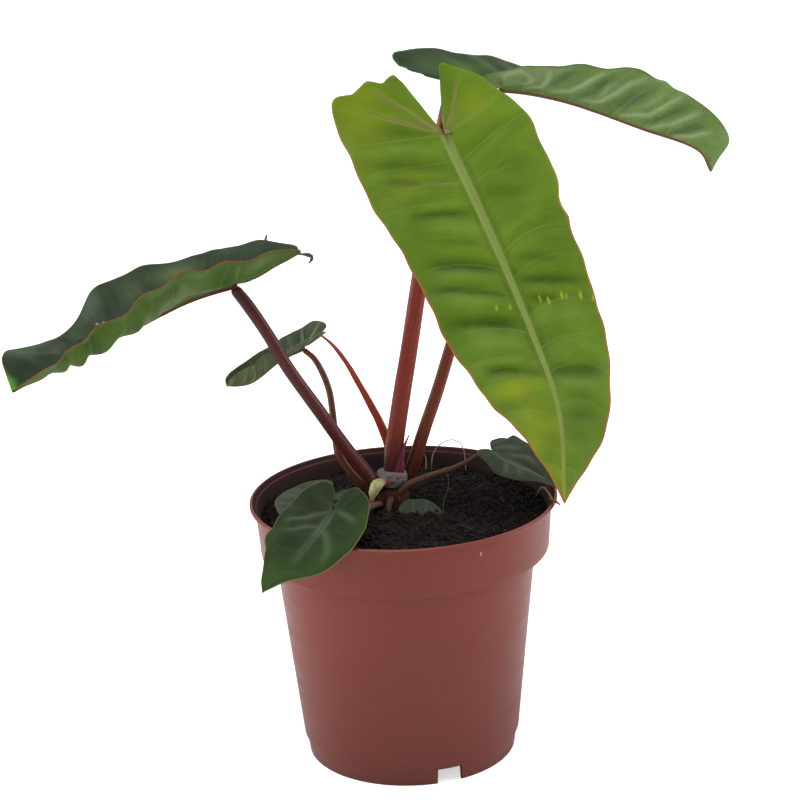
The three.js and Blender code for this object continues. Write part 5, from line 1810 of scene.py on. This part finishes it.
@dataclass
class PeatBed:
    """Moist peat: a lumpy surface with crumbs and fibres strewn over it."""

    level: float = 97.6
    mound: float = 1.6
    radius: float = 54.9
    pot: NurseryPot = field(default_factory=NurseryPot)

    def surface(self, x: Array, y: Array) -> Array:
        """Height of the peat's surface."""
        reach = np.minimum(np.hypot(x, y) / 56.4, 1)
        lumps = np.sin(x * 0.41 + 1) * np.sin(y * 0.37) + 0.6 * np.sin(x * 0.83 - y * 0.71)
        small = (np.sin(x * 1.9 + 2 * np.sin(y * 0.9)) * np.sin(y * 2.1 + 1.5 * np.sin(x * 1.1))
                 + 0.5 * np.sin(x * 3.7 + y * 2.9) * np.sin(y * 4.1 - x * 1.3))
        return self.level + self.mound * np.cos(reach * np.pi / 2) + 0.5 * lumps + 0.35 * small

    def _bed(self) -> Mesh:
        """The peat as a closed body that fills the pot."""
        rings, n = 72, 160
        angle = 2 * np.pi * np.arange(n) / n
        points = [np.array([[0.0, 0.0, float(self.surface(np.zeros(1), np.zeros(1))[0])]])]
        for i in range(1, rings + 1):
            x, y = self.radius * i / rings * np.cos(angle), self.radius * i / rings * np.sin(angle)
            points.append(np.stack([x, y, self.surface(x, y)], axis=1))
        low = self.pot.height - self.pot.lip - self.pot.band
        for radius, height in ((self.pot.band_foot - 1.8, low + 1.6),
                               (self.pot.body_top - 1.8, low - 1),
                               (self.pot.body_foot - 1.4, self.pot.floor + 2.8),
                               (self.pot.body_foot - 2.9, self.pot.floor + 1.6)):
            points.append(np.stack([radius * np.cos(angle), radius * np.sin(angle),
                                    np.full(n, height)], axis=1))
        every = np.vstack([*points, [[0, 0, self.pot.floor + 1.6]]])
        total = rings + 4
        faces = [(0, 1 + j, 1 + (j + 1) % n) for j in range(n)]
        for i in range(total - 1):
            a, b = 1 + i * n, 1 + (i + 1) * n
            faces += [(a + j, b + j, b + (j + 1) % n, a + (j + 1) % n) for j in range(n)]
        last = 1 + (total - 1) * n
        faces += [(len(every) - 1, last + (j + 1) % n, last + j) for j in range(n)]
        return mesh_from("peat_bed", every, outward(every, faces))

    @staticmethod
    def _strew_tree(fibres: bool, material: Material) -> NodeTree:
        """Geometry nodes that strew crumbs or fibres over a surface.

        Args:
            fibres: True for short bent fibres, False for crumbs.
            material: the material that they take.

        Returns:
            The node tree.
        """
        name = "strewn_fibres" if fibres else "strewn_crumbs"
        g, ins, outs = group_tree(
            name, {"Surface": ("NodeSocketGeometry", None), "Density": ("NodeSocketFloat", 1000.0),
                   "Least size": ("NodeSocketFloat", 0.0005),
                   "Largest size": ("NodeSocketFloat", 0.002), "Seed": ("NodeSocketInt", 1)},
            {"Geometry": "NodeSocketGeometry"}, "GeometryNodeTree")
        spots = g.add("GeometryNodeDistributePointsOnFaces",
                      {"Mesh": ins["Surface"], "Seed": ins["Seed"], "Density": ins["Density"]})
        if fibres:
            line = g.add("GeometryNodeCurvePrimitiveBezierSegment",
                         {"Start": (-0.5, 0.0, 0.0), "Start Handle": (-0.2, 0.35, 0.1),
                          "End Handle": (0.25, -0.3, 0.12), "End": (0.5, 0.05, 0.02),
                          "Resolution": 7})
            ring = g.add("GeometryNodeCurvePrimitiveCircle", {"Resolution": 4, "Radius": 0.028})
            shape = g.add("GeometryNodeCurveToMesh", {"Curve": line.outputs[0],
                                                      "Profile Curve": ring.outputs[0],
                                                      "Fill Caps": True}).outputs[0]
        else:
            ball = g.add("GeometryNodeMeshIcoSphere", {"Radius": 0.5, "Subdivisions": 1})
            noise = g.add("ShaderNodeTexNoise", {"Scale": 2.3})
            push = g.vector("SUBTRACT", noise.outputs["Color"], (0.5, 0.5, 0.5))
            shape = g.add("GeometryNodeSetPosition", {"Geometry": ball.outputs[0],
                                                      "Offset": push}).outputs[0]
        size = g.add("FunctionNodeRandomValue", {2: ins["Least size"], 3: ins["Largest size"],
                                                 "Seed": ins["Seed"]}, data_type="FLOAT")
        tilt, spin = 0.35 if fibres else 3.1, 3.1
        turn = g.add("FunctionNodeRandomValue", {0: (-tilt, -tilt, -spin), 1: (tilt, tilt, spin),
                                                 "Seed": ins["Seed"]}, data_type="FLOAT_VECTOR")
        laid = g.add("GeometryNodeInstanceOnPoints", {"Points": spots.outputs[0], "Instance": shape,
                                                      "Rotation": turn.outputs[0],
                                                      "Scale": size.outputs[1]})
        real = g.add("GeometryNodeRealizeInstances", {0: laid.outputs[0]})
        done = g.add("GeometryNodeSetMaterial", {"Geometry": real.outputs[0], "Material": material})
        g.feed(outs["Geometry"], done.outputs[0])
        return g.tree

    def _strew(self, bed: Mesh, scatter: Scatter, material: Material) -> Mesh:
        """Strews crumbs or fibres over the top of the peat.

        Args:
            bed: the peat's mesh.
            scatter: what is strewn.
            material: its material.

        Returns:
            Their plain mesh.
        """
        top = [tuple(p.vertices) for p in bed.polygons if p.normal.z > 0.3]
        skin = bpy.data.meshes.new("peat_skin")
        skin.from_pydata([v.co.copy() for v in bed.vertices], [], top)
        ground = new_object(skin, "peat_skin")
        strew = ground.modifiers.new("strew", "NODES")
        strew.node_group = self._strew_tree(scatter.fibres, material)
        values = {"Density": scatter.density, "Least size": scatter.least,
                  "Largest size": scatter.largest, "Seed": scatter.seed}
        for socket in strew.node_group.interface.items_tree:
            if socket.name in values:
                strew[socket.identifier] = values[socket.name]
        mesh = settled(ground, f"strewn_{scatter.name}")
        mesh.shade_smooth()
        return mesh

    def build(self, effects: Effects) -> None:
        """Makes the peat with its crumbs and fibres.

        Args:
            effects: the shared node groups.
        """
        bed = self._bed()
        for scatter in SCATTERS:
            add_piece(self._strew(bed, scatter, effects.dress(scatter.finish)),
                      f"peat_{scatter.name}", "soil", None)
        add_piece(bed, "peat_bed", "soil", effects.dress(PEAT), "soil")


# ---- studio ----
@dataclass
class Studio:
    """Plain pale floor, soft light from all sides and the camera at the photograph's angle."""

    camera_place: Point = (8.147, -934.395, 445.725)
    camera_dip: float = 17.7878
    camera_roll: float = 2.1654
    lens: float = 115.43
    floor_tone: float = 0.86
    floor_glow: float = 0.6
    surround: float = 0.3
    lights: tuple[tuple[str, Point, float, float], ...] = (
        ("left_panel", (-1.3, 0.1, 0.5), 1.1, 17.0), ("right_panel", (1.3, 0.1, 0.5), 1.1, 17.0),
        ("back_panel", (0.1, 1.5, 1.1), 1.4, 6.0), ("top_panel", (-0.1, -0.3, 1.5), 1.0, 13.5),
        ("front_fill", (-0.6, -1.4, 0.8), 0.8, 5.0))

    def _floor(self) -> None:
        """A wide plain floor."""
        mesh = bpy.data.meshes.new("floor")
        mesh.from_pydata([(-4, -4, 0), (4, -4, 0), (4, 4, 0), (-4, 4, 0)], [], [(0, 1, 2, 3)])
        material, g = fresh_material("floor")
        tone = self.floor_tone
        seen = g.add("ShaderNodeLightPath").outputs["Is Camera Ray"]
        matte = g.add("ShaderNodeBsdfDiffuse", {"Color": (tone, tone, tone)}).outputs[0]
        glow = g.add("ShaderNodeEmission", {"Strength": g.times(seen, self.floor_glow)})
        close_material(g, g.add("ShaderNodeAddShader", {0: matte, 1: glow.outputs[0]}).outputs[0])
        mesh.materials.append(material)
        new_object(mesh, "floor")

    def _light(self, name: str, place: Point, size: float, power: float) -> None:
        """A square soft light that looks at the plant.

        Args:
            name: its name.
            place: where it stands, in metres.
            size: its side, in metres.
            power: its power, in watts.
        """
        data = bpy.data.lights.new(name, "AREA")
        data.shape, data.size, data.energy = "SQUARE", size, power
        lamp = bpy.data.objects.new(name, data)
        lamp.location = place
        lamp.visible_camera = False
        lamp.rotation_mode = "QUATERNION"
        lamp.rotation_quaternion = (Vector((0, 0, 0.13)) - Vector(place)).to_track_quat("-Z", "Y")
        bpy.context.scene.collection.objects.link(lamp)

    def _world(self) -> None:
        """An even, dim white surround."""
        world = bpy.data.worlds.new("surround")
        world.use_nodes = True
        g = Graph(world.node_tree)
        sky = g.add("ShaderNodeBackground", {"Color": (1.0, 1.0, 1.0), "Strength": self.surround})
        g.add("ShaderNodeOutputWorld", {"Surface": sky.outputs[0]})
        bpy.context.scene.world = world
        bpy.context.scene.view_settings.view_transform = "Standard"

    def build(self) -> None:
        """Sets the floor, the lights and the camera."""
        self._floor()
        self._world()
        for name, place, size, power in self.lights:
            self._light(name, place, size, power)
        data = bpy.data.cameras.new("camera")
        data.lens, data.sensor_width = self.lens, 36.0
        data.clip_start, data.clip_end = 0.05, 30.0
        camera = bpy.data.objects.new("camera", data)
        dip = Matrix.Rotation(math.radians(90 - self.camera_dip), 4, "X")
        roll = Matrix.Rotation(math.radians(-self.camera_roll), 4, "Z")
        camera.matrix_world = Matrix.Translation(Vector(self.camera_place) * MM) @ dip @ roll
        bpy.context.scene.collection.objects.link(camera)
        bpy.context.scene.camera = camera


def main() -> None:
    """Builds every sub-assembly in order; each piece logs its face count as it is added."""
    logging.basicConfig(level=logging.INFO, format="%(name)s: %(message)s")
    effects = Effects()
    NurseryPot().build(effects)
    PeatBed().build(effects)
    Crown().build(effects)
    Stalks().build(effects)
    Foliage().build(effects)
    Studio().build()


if __name__ == "__main__":
    main()
